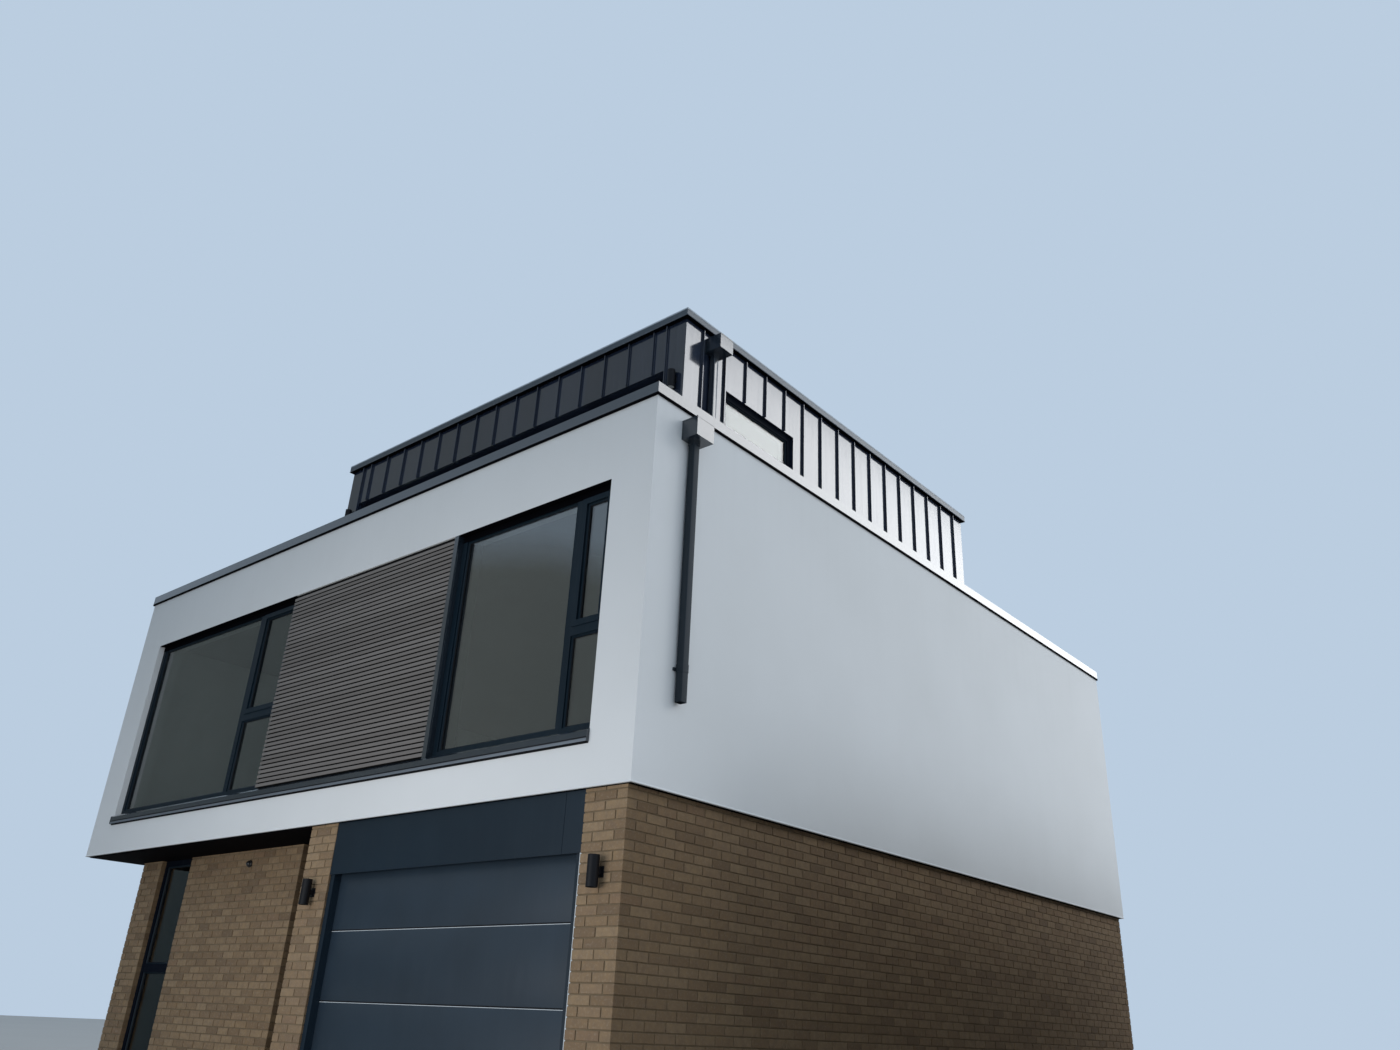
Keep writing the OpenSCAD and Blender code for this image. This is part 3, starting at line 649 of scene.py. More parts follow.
def make_boards():
    """Composite boards with a brushed grain that runs along them."""
    finish, tree, shader = start_material("composite_board", shine=0.3)
    stretched = vector_math(tree, "MULTIPLY", object_spot(tree), GRAIN_SCALE)[0]
    grain = noise(tree, stretched, 1.0, 4.0)
    body = blend(tree, attribute(tree, "tone"), *BOARD_TONES)
    body = blend(tree, mapped(tree, grain, 0.35, 0.7, 0, 0.4), body, BOARD_GRAIN)
    wire(tree, shader, body, mapped(tree, grain, 0.3, 0.7, 0.55, 0.75), grain, 0.0008)
    return finish


def make_glass(name, ior):
    """A faintly tinted pane."""
    finish, tree, shader = start_material(name)
    shader.inputs["Transmission Weight"].default_value = 1.0
    shader.inputs["IOR"].default_value = ior
    tone = effect(tree, "mottle", cloud_size=0.9, speckle_size=0.01)
    tint = blend(tree, tone["Cloud"], *PANE_TINTS)
    rough = mapped(tree, tone["Speckle"], 0.2, 1, 0.0, 0.025)
    wire(tree, shader, tint, rough, tone["Cloud"], 0.0004, 0.25)
    return finish


def make_card_cloth():
    """Dull cloth for the dark cards, which thins out where the card's attribute says so."""
    finish, tree, shader = start_material("card_cloth", shine=0.0)
    shader.inputs["Roughness"].default_value = 1.0
    body = blend(tree, attribute(tree, "body"), CARD_FOOT, CARD_BODY)
    tree.links.new(body, shader.inputs["Base Color"])
    tree.links.new(attribute(tree, "solid"), shader.inputs["Alpha"])
    return finish


finishes.update({name: coated(name, *look) for name, look in COATS.items()})
finishes["composite_board"] = make_boards()
finishes["glazing"] = make_glass("glazing", SEALED_UNIT_IOR)
finishes["penthouse_glazing"] = make_glass("penthouse_glazing", PLAIN_GLASS_IOR)
add_floor(finishes["studio_floor"])
card_cloth = make_card_cloth()
for name, (x, floating, stations) in CARDS.items():
    add_card(name, x, floating, stations, card_cloth)
print("cards:", ", ".join(CARDS))

# %% [markdown]
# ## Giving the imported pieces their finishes
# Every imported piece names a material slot, so most finishes could be handed out by that alone. A
# few pieces share a slot with others but not a look: the garage's fascia and frame, the
# penthouse's panes, frames and coping, and the tall window's frame. A short table lists them, and
# everything else follows its slot.

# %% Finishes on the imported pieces
OWN_FINISH = {
    "garage_fascia": "flat_panel",
    "garage_frame": "flat_panel",
    "penthouse_glass": "penthouse_glazing",
    "penthouse_coping": "smooth_coping",
    "penthouse_frames": "matt_frame",
    "tall_window_frame": "matt_frame",
}
for part in frame["record"]["subparts"]:
    slots = nodes[part["node"]].data.materials
    slots.clear()
    slots.append(finishes[OWN_FINISH.get(part["node"], part["material_slot"])])
print("finishes in all:", len(finishes))

# %% [markdown]
# ## Mesh tools for bars, rings and turned pieces
# Nearly everything added here is one of four kinds: an outline swept along a straight line, an
# outline swept round a rectangle with mitred corners, a profile turned on a lathe, or a soft
# edged block. Writing these four once keeps each later piece to a few lines. Normals are made
# consistent when the piece is finished, so outlines may be given in either sense.

# %% Swept and turned shapes
PLANE = {"X": (1, 2, 0), "Y": (0, 2, 1), "Z": (0, 1, 2)}
UP = Vector((0, 0, 1))
UNIT_SQUARE = [(-0.5, -0.5), (0.5, -0.5), (0.5, 0.5), (-0.5, 0.5)]
MERGE = 0.00002


def skin(bm, rings, loop=False):
    """Joins rings of points with faces, and closes the ends unless the rings form a loop."""
    made = [[bm.verts.new(point) for point in ring] for ring in rings]
    pairs = list(zip(made, made[1:]))
    if loop:
        pairs.append((made[-1], made[0]))
    count = len(made[0])
    for first, second in pairs:
        for i in range(count):
            j = (i + 1) % count
            bm.faces.new((first[i], first[j], second[j], second[i]))
    if not loop:
        bm.faces.new(made[0])
        bm.faces.new(list(reversed(made[-1])))


def point_on(axis, u, v, along, origin=(0.0, 0.0, 0.0)):
    """A point from its place across an axis, u and v, and along it."""
    point = list(origin)
    for place, value in zip(PLANE[axis], (u, v, along)):
        point[place] += value
    return point


def prism(bm, axis, outline, low, high):
    """An outline swept along X, Y or Z from low to high."""
    skin(bm, [[point_on(axis, u, v, along) for u, v in outline] for along in (low, high)])


def soft_rectangle(low, high, radius, steps=3):
    """A rectangle's outline with round corners."""
    outline = []
    corners = [(high, 0), ((low[0], high[1]), 90), (low, 180), ((high[0], low[1]), 270)]
    for (x, y), start in corners:
        centre_x = x - radius if x == high[0] else x + radius
        centre_y = y - radius if y == high[1] else y + radius
        for i in range(steps + 1):
            angle = math.radians(start + 90 * i / steps)
            outline.append((centre_x + radius * math.cos(angle), centre_y + radius * math.sin(angle)))
    return outline


def block(bm, low, high, radius=0.002):
    """A box whose four longest edges are rounded."""
    size = [b - a for a, b in zip(low, high)]
    axis = "XYZ"[size.index(max(size))]
    first, second, third = PLANE[axis]
    outline = soft_rectangle((low[first], low[second]), (high[first], high[second]), radius, 2)
    prism(bm, axis, outline, low[third], high[third])


def lathe(bm, centre, axis, profile, steps=40):
    """A closed profile of (radius, along the axis) points turned round an axis."""
    rings = []
    for i in range(steps):
        angle = 2 * math.pi * i / steps
        across, upwards = math.cos(angle), math.sin(angle)
        rings.append([point_on(axis, r * across, r * upwards, along, centre) for r, along in profile])
    skin(bm, rings, loop=True)
    bmesh.ops.remove_doubles(bm, verts=bm.verts, dist=MERGE)


def sweep_loop(bm, corners, normal, profile):
    """A profile of (outwards, along the normal) points swept round a rectangle."""
    count = len(corners)
    rings = []
    for i in range(count):
        before = (corners[i] - corners[i - 1]).normalized().cross(normal)
        after = (corners[(i + 1) % count] - corners[i]).normalized().cross(normal)
        rings.append([corners[i] + (before + after) * out + normal * up for out, up in profile])
    skin(bm, rings, loop=True)


def level_loop(low, high, z):
    """The corners of a level rectangle, so that outwards points away from it."""
    corners = ((low[0], low[1]), (high[0], low[1]), (high[0], high[1]), (low[0], high[1]))
    return [Vector((x, y, z)) for x, y in corners]


def run_round(bm, *loops):
    """Sweeps profiles round level rectangles, each given as (low, high), height and profile."""
    for (low, high), z, profile in loops:
        sweep_loop(bm, level_loop(low, high, z), UP, profile)


print("sweeps along", ", ".join(PLANE))

# %% [markdown]
# ## From a mesh to a piece of the house
# A bare mesh isn't yet part of the house. It needs faces that look outwards, folds that stay
# sharp, a finish, and a body to ride on. These could be set piece by piece, but then one is
# easily forgotten, so `make_piece` does them all. `solids_of` finds the separate solids of a
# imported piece, such as panes or sills, so that no position has to be typed in again.

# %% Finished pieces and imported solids
SHARP_EDGE = 32  # degrees
TINY = 0.00001


def settle(piece, slot, finish, replaced):
    """Gives a piece its finish, lets it ride on the house and prints what it is."""
    piece.data.materials.clear()
    piece.data.materials.append(finishes[finish or slot])
    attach(piece, "root")
    if replaced:
        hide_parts(*replaced)
    triangles = sum(len(face.vertices) - 2 for face in piece.data.polygons)
    print(f"{piece.name}: {triangles} triangles")


def object_from(name, bm):
    """Turns a finished bmesh into an object with its faces pointing outwards."""
    bmesh.ops.recalc_face_normals(bm, faces=bm.faces)
    mesh = bpy.data.meshes.new(name)
    bm.to_mesh(mesh)
    bm.free()
    return place_object(name, mesh)


def make_piece(name, bm, slot, finish=None, replaced=()):
    """Makes a piece of the house. Its finish is the slot's own unless another is named."""
    piece = object_from(name, bm)
    piece.data.shade_smooth()
    piece.data.set_sharp_from_angle(angle=math.radians(SHARP_EDGE))
    settle(piece, slot, finish, replaced)


def solids_of(name):
    """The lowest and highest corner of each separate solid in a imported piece."""
    bm = bmesh.new()
    bm.from_mesh(nodes[name].data)
    bmesh.ops.remove_doubles(bm, verts=bm.verts, dist=TINY)
    left = set(bm.verts)
    found = []
    while left:
        edge_of_search = [left.pop()]
        solid = []
        while edge_of_search:
            vertex = edge_of_search.pop()
            solid.append(vertex.co.copy())
            for link in vertex.link_edges:
                other = link.other_vert(vertex)
                if other in left:
                    left.remove(other)
                    edge_of_search.append(other)
        found.append(tuple(Vector([end(p[i] for p in solid) for i in range(3)]) for end in (min, max)))
    bm.free()
    return sorted(found, key=lambda pair: tuple(round(v, 3) for v in pair[0]))


print("glass panes at the front:", len(solids_of("front_window_glass")))

# %% [markdown]
# ## Geometry trees: how they are run
# Rows of bricks, boards and seams follow rules, so Geometry Nodes lay them. A tree takes named
# inputs, its modifier is filled by each socket's identifier, and the result is read back as a
# plain mesh. Several modifiers may stand on one object: each tree passes on what came before and
# adds its own row to it, which is how one wall can be laid in several stretches.

# %% Run a geometry tree
GEOMETRY = "GeometryNodeTree"
INT, OBJECT, MATERIAL = "NodeSocketInt", "NodeSocketObject", "NodeSocketMaterial"
ANY_GEOMETRY = "NodeSocketGeometry"


def start_tree(name, inputs, seed):
    """A geometry tree. The incoming geometry comes first, then the named inputs."""
    sockets = [("Geometry", ANY_GEOMETRY, None)] + inputs
    sockets += [("Seed", INT, seed), ("Shape", OBJECT, None), ("Finish", MATERIAL, None)]
    return new_group(name, GEOMETRY, sockets, [("Geometry", ANY_GEOMETRY)])


def point_number(tree):
    return add(tree, "GeometryNodeInputIndex").outputs[0]


def random_share(tree, seed, low=0.0, high=1.0):
    """A random number for each point, between two ends."""
    return add(tree, "FunctionNodeRandomValue", {2: low, 3: high, "Seed": seed}).outputs[1]


def store(tree, points, name, value, kind="FLOAT"):
    """Keeps a value on every point under a name."""
    inputs = {"Geometry": points, "Name": name, "Value": value}
    return add(tree, "GeometryNodeStoreNamedAttribute", inputs, data_type=kind).outputs[0]


def points_at(tree, given, count, place):
    """A number of points, each at its own place and with a random tone."""
    points = add(tree, "GeometryNodePoints", {"Count": count}).outputs[0]
    points = add(tree, "GeometryNodeSetPosition", {"Geometry": points, "Position": place}).outputs[0]
    return store(tree, points, "tone", random_share(tree, given["Seed"]))


def set_out(tree, given, points, **more):
    """Sets the given shape at every point."""
    shape = add(tree, "GeometryNodeObjectInfo", {"Object": given["Shape"]}).outputs["Geometry"]
    inputs = {"Points": points, "Instance": shape, **more}
    return add(tree, "GeometryNodeInstanceOnPoints", inputs).outputs[0]


def end_tree(tree, given, result, grown):
    """Makes the row real, gives it its finish and adds it to what came in."""
    real = add(tree, "GeometryNodeRealizeInstances", {0: grown}).outputs[0]
    inputs = {"Geometry": real, "Material": given["Finish"]}
    dressed = add(tree, "GeometryNodeSetMaterial", inputs).outputs[0]
    both = add(tree, "GeometryNodeJoinGeometry")
    tree.links.new(given["Geometry"], both.inputs[0])
    tree.links.new(dressed, both.inputs[0])
    tree.links.new(both.outputs[0], result["Geometry"])
    return tree


def lay(name, tree, rows, shape, slot, finish=None, replaced=()):
    """Runs a tree once for each row on one object, and keeps the result as a plain mesh."""
    carrier = place_object(name, bpy.data.meshes.new(name))
    sockets = {item.name: item.identifier for item in tree.interface.items_tree if item.in_out == "INPUT"}
    for row in rows:
        modifier = carrier.modifiers.new("row", "NODES")
        modifier.node_group = tree
        for label, value in {**row, "Shape": shape, "Finish": finishes[finish or slot]}.items():
            modifier[sockets[label]] = value
    bpy.context.view_layer.update()
    evaluated = carrier.evaluated_get(bpy.context.evaluated_depsgraph_get())
    mesh = bpy.data.meshes.new_from_object(evaluated)
    carrier.modifiers.clear()
    carrier.data = mesh
    mesh.name = name
    settle(carrier, slot, finish, replaced)


print("rows are laid by trees of the kind", GEOMETRY)

# %% [markdown]
# ## The brickwork
# The walls are laid in stretcher bond: each course is shifted by half a brick, and at a corner a
# stretcher of one wall shows its end on the other. Texture could fake this, but real bricks turn
# the corners, stop at the openings and cast the joint's fine shadow. The tree numbers a grid of
# candidate bricks, clips each to its stretch of wall, drops those that are left too short, and
# sets a unit brick at each place, scaled to what is left of it. Every other course may step back
# at a corner, where the other wall's brick end fills the gap.

# %% Brick sizes and the unit brick
COURSE = 0.075
JOINT = 0.010
BRICK_DEEP = 0.1025
PROUD = 0.006
PITCH = 0.225
SHORTEST = 0.03
FLATTEST = 0.012
SLIP = 0.0012  # how far a brick may stand in or out of line
SLIP_SEED = 57.0
EVEN_SHIFT = 100.0  # keeps the course number positive before its remainder is taken
EASED_SIDE, EASED_RISE, EASED_DEEP = 0.012, 0.04, 0.003


def make_unit_brick():
    """A brick one unit wide and high, its front edges eased. Its front lies at y = 0."""
    bm = bmesh.new()
    rings = [[(x * (1 - 2 * EASED_SIDE), 0, z * (1 - 2 * EASED_RISE)) for x, z in UNIT_SQUARE]]
    rings += [[(x, y, z) for x, z in UNIT_SQUARE] for y in (EASED_DEEP, BRICK_DEEP)]
    skin(bm, rings)
    return object_from("unit_brick", bm)


print("a brick and its joint:", PITCH * 1000, "by", COURSE * 1000, "mm")


# %% [markdown]
# ## The tree that lays the courses
# One tree lays one stretch of wall, whatever its length. A loop in Python could place the bricks
# too, but a tree keeps the rule in one place, and its inputs say all that changes from wall to
# wall. Each point works out its course, and its place in that course, from its number alone.

# %% The brick tree
def make_brick_tree():
    inputs = [(label, FLOAT, 0.0) for label in ("From", "To", "Low", "High", "Anchor", "Parity")]
    inputs += [("Pitch", FLOAT, PITCH), ("Step At Start", FLOAT, 0.0), ("Step At End", FLOAT, 0.0)]
    inputs += [("Place", VECTOR, None), ("Turn", FLOAT, 0.0)]
    tree, given, result = start_tree("brick_courses", inputs, 1)
    plus, minus, times, over = sums(tree, "ADD", "SUBTRACT", "MULTIPLY", "DIVIDE")
    floor, ceiling, remainder = sums(tree, "FLOOR", "CEIL", "MODULO")
    larger, smaller, below = sums(tree, "MAXIMUM", "MINIMUM", "LESS_THAN")
    pitch = given["Pitch"]

    columns = ceiling(plus(over(minus(given["To"], given["From"]), pitch), 2.0))
    first_row = floor(over(given["Low"], COURSE))
    rows = minus(ceiling(over(given["High"], COURSE)), first_row)
    number = plus(point_number(tree), 0.5)
    row = plus(floor(over(number, columns)), first_row)
    column = floor(remainder(number, columns))
    shifted = remainder(plus(plus(row, given["Parity"]), EVEN_SHIFT), 2.0)
    skipped = floor(over(minus(given["From"], given["Anchor"]), pitch))
    start = plus(given["Anchor"], times(pitch, minus(plus(skipped, column), 1.0)))
    start = plus(start, times(shifted, times(pitch, 0.5)))
    left = larger(start, plus(given["From"], times(shifted, given["Step At Start"])))
    last = minus(given["To"], times(shifted, given["Step At End"]))
    right = smaller(minus(plus(start, pitch), JOINT), last)
    bottom = larger(plus(times(row, COURSE), JOINT), given["Low"])
    top = smaller(times(plus(row, 1.0), COURSE), given["High"])
    width, height = minus(right, left), minus(top, bottom)

    slip = random_share(tree, plus(given["Seed"], SLIP_SEED), -SLIP, SLIP)
    middle, height_middle = times(plus(left, right), 0.5), times(plus(bottom, top), 0.5)
    place = combine(tree, X=middle, Y=minus(slip, PROUD), Z=height_middle)
    points = points_at(tree, given, times(columns, rows), place)
    points = store(tree, points, "size", combine(tree, X=width, Y=1.0, Z=height), "FLOAT_VECTOR")
    too_small = larger(below(width, SHORTEST), below(height, FLATTEST))
    inputs = {"Geometry": points, "Selection": too_small}
    points = add(tree, "GeometryNodeDeleteGeometry", inputs, domain="POINT").outputs[0]
    size = add(tree, "GeometryNodeInputNamedAttribute", {"Name": "size"}, data_type="FLOAT_VECTOR")
    laid = set_out(tree, given, points, Scale=size.outputs[0])
    turn = combine(tree, Z=given["Turn"])
    inputs = {"Geometry": laid, "Translation": given["Place"], "Rotation": turn}
    laid = add(tree, "GeometryNodeTransform", inputs).outputs[0]
    return end_tree(tree, given, result, laid)


brick_tree = make_brick_tree()
print("brick tree:", len(brick_tree.nodes), "nodes")

# %% [markdown]
# ## Laying each wall
# A stretch of wall is seen from outside: its courses run from its left end, and it is turned to
# its side of the house. Going round the house, the walls take turns: where one shows a full
# stretcher at the corner, the next one shows that brick's end. The pitch is stretched by a hair
# so that whole bricks fit between two corners, as a bricklayer does when setting out.

# %% How a stretch of wall is described
SIDES = {"front": 0.0, "right": 90.0, "rear": 180.0, "left": 270.0}
BRICK_SEED = 11
soffit_z = box["soffit"][0].z
box_under = front_low.z


def face_of(low, high, side):
    """Where a face's left end stands, how the face is turned, and how long it is."""
    x = low.x if side in ("front", "left") else high.x
    y = low.y if side in ("front", "right") else high.y
    length = high.x - low.x if side in ("front", "rear") else high.y - low.y
    return Vector((x, y, 0.0)), math.radians(SIDES[side]), length


def stretch(low, high, side, top, parity=0, start=None, end=None, corners="both", whole=True):
    """One stretch of brickwork. Corners names the ends where it bonds with another wall."""
    place, turn, length = face_of(low, high, side)
    from_x = -PROUD if start is None else start
    to_x = length + PROUD if end is None else end
    count = max(1, round((to_x - from_x + JOINT) / PITCH))
    pitch = (to_x - from_x + JOINT) / count if whole else PITCH
    anchor = to_x + JOINT if corners == "end" else from_x
    row = {"From": from_x, "To": to_x, "Low": 0.0, "High": top, "Anchor": anchor, "Parity": float(parity)}
    row.update({"Pitch": pitch, "Place": place, "Turn": turn, "Seed": BRICK_SEED + parity})
    row["Step At Start"] = pitch / 2 if corners in ("both", "start") else 0.0
    row["Step At End"] = pitch / 2 if corners in ("both", "end") else 0.0
    return row


def around_openings(row, openings, top):
    """Cuts one stretch into pieces that leave its openings free: (left, right, bottom, head)."""
    inner = {**row, "Step At Start": 0.0, "Step At End": 0.0}
    pieces = []
    left = row["From"]
    for start, end, bottom, head in sorted(openings):
        pieces.append({**inner, "From": left, "To": start})
        if bottom > 0:
            pieces.append({**inner, "From": start, "To": end, "High": bottom})
        pieces.append({**inner, "From": start, "To": end, "Low": head, "High": top})
        left = end
    pieces.append({**inner, "From": left, "Step At End": row["Step At End"]})
    pieces[0]["Step At Start"] = row["Step At Start"]
    return pieces


print("courses up to the box:", round(box_under / COURSE, 1))

# %% [markdown]
# ## The five pieces of brickwork
# There is brickwork on the front piers, in the entrance recess, and on the right, left and rear
# walls. It could all be one piece, but five are easier to look at one by one. The two returns
# beside the entrance run only to the door's frame, and the rear wall is cut round its openings.

# %% Lay the walls
right_pier, middle_pier = box["brick_right_pier"], box["brick_middle_pier"]
left_pier, recess_wall = box["brick_left_pier"], box["brick_recess_wall"]
rear_brick = box["brick_rear_wall"]
door_face = box["entrance_frame"][0].y
return_deep = door_face - recess_wall[0].y
hidden_deep = recess_wall[1].y - door_face


def side_wall(pier):
    """A side wall's two corners, from its front pier to the rear wall."""
    return Vector((pier[0].x, pier[0].y, 0)), Vector((pier[1].x, rear_brick[1].y, 0))


def rear_openings():
    """The rear frames' places, measured along the rear wall from its left end."""
    found = []
    for low, high in solids_of("rear_frames"):
        if high.z < box_under:
            found.append((rear_brick[1].x - high.x, rear_brick[1].x - low.x, low.z, high.z))
    return found


walls = {
    "bricks_front_piers": [
        stretch(*right_pier, "front", box_under, corners="end"),
        stretch(*middle_pier, "front", box_under, corners="start"),
        stretch(*middle_pier, "left", soffit_z, parity=1, start=hidden_deep, corners="end", whole=False),
    ],
    "bricks_recess": [
        stretch(*left_pier, "front", soffit_z, corners="start"),
        stretch(*recess_wall, "front", soffit_z, corners="end"),
        stretch(*recess_wall, "right", soffit_z, parity=1, end=return_deep, corners="start", whole=False),
    ],
    "bricks_right_wall": [stretch(*side_wall(right_pier), "right", box_under, parity=1)],
    "bricks_left_wall": [stretch(*side_wall(left_pier), "left", soffit_z, parity=1)],
    "bricks_rear_wall": around_openings(stretch(*rear_brick, "rear", box_under), rear_openings(), box_under),
}
unit_brick = make_unit_brick()
for name, rows in walls.items():
    lay(name, brick_tree, rows, unit_brick, "brickwork", "brick_faces")
bpy.data.objects.remove(unit_brick)

# %% [markdown]
# ## Rows of one shape
# The slatted panel, the standing seams and the roof's laps are all one shape repeated in a
# straight line. An Array modifier could do it, but a small geometry tree also gives each copy a
# number of its own for its tone, and stretches the shape to the length it needs. What stands at
# the front often has its twin at the rear, half a turn about the middle of the house.

# %% The row tree
def make_row_tree():
    inputs = [("Count", INT, 1), ("First", VECTOR, None), ("Step", VECTOR, None)]
    inputs += [("Stretch", VECTOR, None), ("Turn", FLOAT, 0.0)]
    tree, given, result = start_tree("row_of_shapes", inputs, 1)
    inputs = {0: given["Step"], "Scale": point_number(tree)}
    far = add(tree, "ShaderNodeVectorMath", inputs, operation="SCALE").outputs[0]
    place = vector_math(tree, "ADD", given["First"], far)[0]
    points = points_at(tree, given, given["Count"], place)
    turn = combine(tree, Z=given["Turn"])
    laid = set_out(tree, given, points, Rotation=turn, Scale=given["Stretch"])
    return end_tree(tree, given, result, laid)


row_tree = make_row_tree()
house_middle = (Vector(front_low) + Vector(rear_high)) / 2


def row_of(count, first, step=(0, 0, 0), stretch_by=(1, 1, 1), turn=0.0, seed=3):
    """The inputs of one row."""
    named = {"Count": count, "First": Vector(first), "Step": Vector(step), "Stretch": Vector(stretch_by)}
    return {**named, "Turn": turn, "Seed": seed}


def turned(point):
    """The same place at the rear, turned about the middle of the house."""
    return (2 * house_middle.x - point[0], 2 * house_middle.y - point[1], point[2])


def front_and_rear(bm, low, high, radius=0.0006):
    """A block at the front and its twin at the rear."""
    block(bm, low, high, radius)
    far_low, far_high = turned(high), turned(low)
    block(bm, (far_low[0], far_low[1], low[2]), (far_high[0], far_high[1], high[2]), radius)


print("the middle of the house:", [round(v, 3) for v in house_middle])

# %% [markdown]
# ## The slatted panel
# Between the two windows hangs a panel of composite boards. Each slat is a slim bar with eased
# front edges in front of a dark backing board, so the gaps read as deep grooves. The bar is one
# metre long and is stretched to the panel's width.

# %% Slats and their backing board
SLAT_PITCH = 0.0481
SLAT_HIGH = 0.035
SLAT_DEEP = 0.020
SLAT_RISE = 0.017  # how far a slat's underside climbs towards its back
SLAT_FOOT = 0.004  # the lowest slat's height above the panel's foot
SLAT_OUTLINE = [
    (SLAT_DEEP, SLAT_RISE), (0.0025, 0.001), (0.001, 0.0006), (0.0, 0.003),
    (0.0, SLAT_HIGH - 0.004), (0.001, SLAT_HIGH - 0.001), (0.003, SLAT_HIGH), (SLAT_DEEP, SLAT_HIGH - 0.002),
]
BOARD_LAP = 0.001  # how far the slats stand into their backing board


def lay_slats():
    low, high = min(solids_of("slatted_panels"), key=lambda pair: pair[0].y)
    count = int((high.z - low.z) / SLAT_PITCH)
    first = (low.x, low.y, low.z + SLAT_FOOT)
    step, wide = (0, 0, SLAT_PITCH), (high.x - low.x, 1, 1)
    rows = [row_of(count, first, step, wide)]
    rows.append(row_of(count, turned(first), step, wide, turn=math.pi, seed=4))
    bm = bmesh.new()
    prism(bm, "X", SLAT_OUTLINE, 0.0, 1.0)
    slat = object_from("one_slat", bm)
    lay("slats", row_tree, rows, slat, "composite_board", replaced=["slatted_panels"])
    bpy.data.objects.remove(slat)
    bm = bmesh.new()
    front_and_rear(bm, (low.x, low.y + SLAT_DEEP - BOARD_LAP, low.z), high, 0.002)
    make_piece("slat_backing", bm, "composite_board", "groove_board")


lay_slats()

# %% [markdown]
# ## Standing seams
# Neighbouring sheets are folded together into an upright rib that stands about 30 mm off the
# wall. The rib's outline shows its broad folded head and its thin neck. Over the glazing the
# ribs are short, and beside it they run down to the terrace, so each rib is stretched to the
# height of its own stretch of wall.

# %% Seams on all four sides
SEAM_OUT = 0.030
SEAM_HALF = [
    (0.009, 0.0), (0.009, 0.0015), (0.0025, 0.004), (0.0025, 0.016), (0.006, 0.019),
    (0.006, SEAM_OUT - 0.002), (0.004, SEAM_OUT),
]
CHEEK = 0.285
HALF_SHEET = 0.205
FRONT_SHEETS = 15
SIDE_FIRST = 0.295
SIDE_SECOND = 0.412
SIDE_PITCH = 0.405
SIDE_SHEETS = 17
LAST_SHEET = 0.1  # a side's last seam stands at least this far from its corner
SHADOW_GAP = 0.004
HOLE_SLACK = 0.01  # a seam this close to the glazing's end counts as beside it
pent_low = Vector(box["penthouse_front_wall"][0])
pent_high = Vector((box["penthouse_front_wall"][1].x, box["penthouse_rear_wall"][1].y,
                    box["penthouse_front_wall"][1].z))
frame_solids = solids_of("penthouse_frames")
front_glazing = min(frame_solids, key=lambda pair: pair[0].y)
side_window = max(frame_solids, key=lambda pair: pair[0].x)


def seam_places(side, length):
    """Where the ribs of one side stand along it, and where its glazing begins and ends."""
    if side in ("front", "rear"):
        places = [CHEEK] + [CHEEK + HALF_SHEET + SHEET_PITCH * i for i in range(FRONT_SHEETS)]
        return places + [length - CHEEK], (CHEEK, length - CHEEK)
    places = [SIDE_FIRST] + [SIDE_FIRST + SIDE_SECOND + SIDE_PITCH * i for i in range(SIDE_SHEETS - 1)]
    places = [place for place in places if place < length - LAST_SHEET]
    hole = (side_window[0].y - pent_low.y, side_window[1].y - pent_low.y)
    if side == "left":
        return [length - place for place in places], (length - hole[1], length - hole[0])
    return places, hole


def seam_rows(side):
    """Every rib of one side, each stretched to its height."""
    start, turn, length = face_of(pent_low, pent_high, side)
    along = Matrix.Rotation(turn, 3, "Z") @ Vector((1, 0, 0))
    places, hole = seam_places(side, length)
    top = pent_high.z - SHADOW_GAP
    rows = []
    for place in places:
        spot = start + along * place
        spans = [(pent_low.z, top)]
        if hole[0] + HOLE_SLACK < place < hole[1] - HOLE_SLACK:
            spans = [(pent_low.z, front_glazing[0].z), (front_glazing[1].z, top)]
        for low, high in spans:
            rows.append(row_of(1, (spot.x, spot.y, low), stretch_by=(1, 1, high - low), turn=turn))
    return rows


def lay_seams():
    outline = [(x, -out) for x, out in SEAM_HALF] + [(-x, -out) for x, out in reversed(SEAM_HALF)]
    bm = bmesh.new()
    prism(bm, "Z", outline, 0.0, 1.0)
    seam = object_from("one_seam", bm)
    for side in SIDES:
        lay(f"seams_{side}", row_tree, seam_rows(side), seam, "seam_cladding")
    bpy.data.objects.remove(seam)


lay_seams()

# %% [markdown]
# ## Beads and gaskets round the panes
# A pane is held by a slim bead clipped into the frame, with a line of black rubber where it
# meets the glass. Both are profiles that run round the pane with mitred corners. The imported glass
# says where each pane is and which way it faces, so one loop dresses every window of the house.

# %% Window beads and gaskets
BEAD = [(0.0, 0.006), (-0.016, 0.006), (-0.016, 0.010), (-0.008, 0.018), (0.0, 0.018)]
GASKET = [(-0.010, 0.0), (-0.021, 0.0), (-0.021, 0.002), (-0.017, 0.006), (-0.010, 0.006)]
GLASS_NODES = ("front_window_glass", "tall_window_glass", "penthouse_glass", "rear_glass")


def pane_corners(low, high):
    """The corners of a pane's outer face, and the direction it faces."""
    thin = 1 if high.y - low.y < high.x - low.x else 0
    wide = 1 - thin
    outwards = 1 if (low[thin] + high[thin]) / 2 > house_middle[thin] else -1
    normal = Vector((0, 0, 0))
    normal[thin] = outwards
    corners = []
    for w, z in ((low[wide], low.z), (high[wide], low.z), (high[wide], high.z), (low[wide], high.z)):
        corner = Vector((0, 0, z))
        corner[thin] = high[thin] if outwards > 0 else low[thin]
        corner[wide] = w
        corners.append(corner)
    if (corners[1] - corners[0]).cross(normal).z > 0:
        corners.reverse()
    return corners, normal


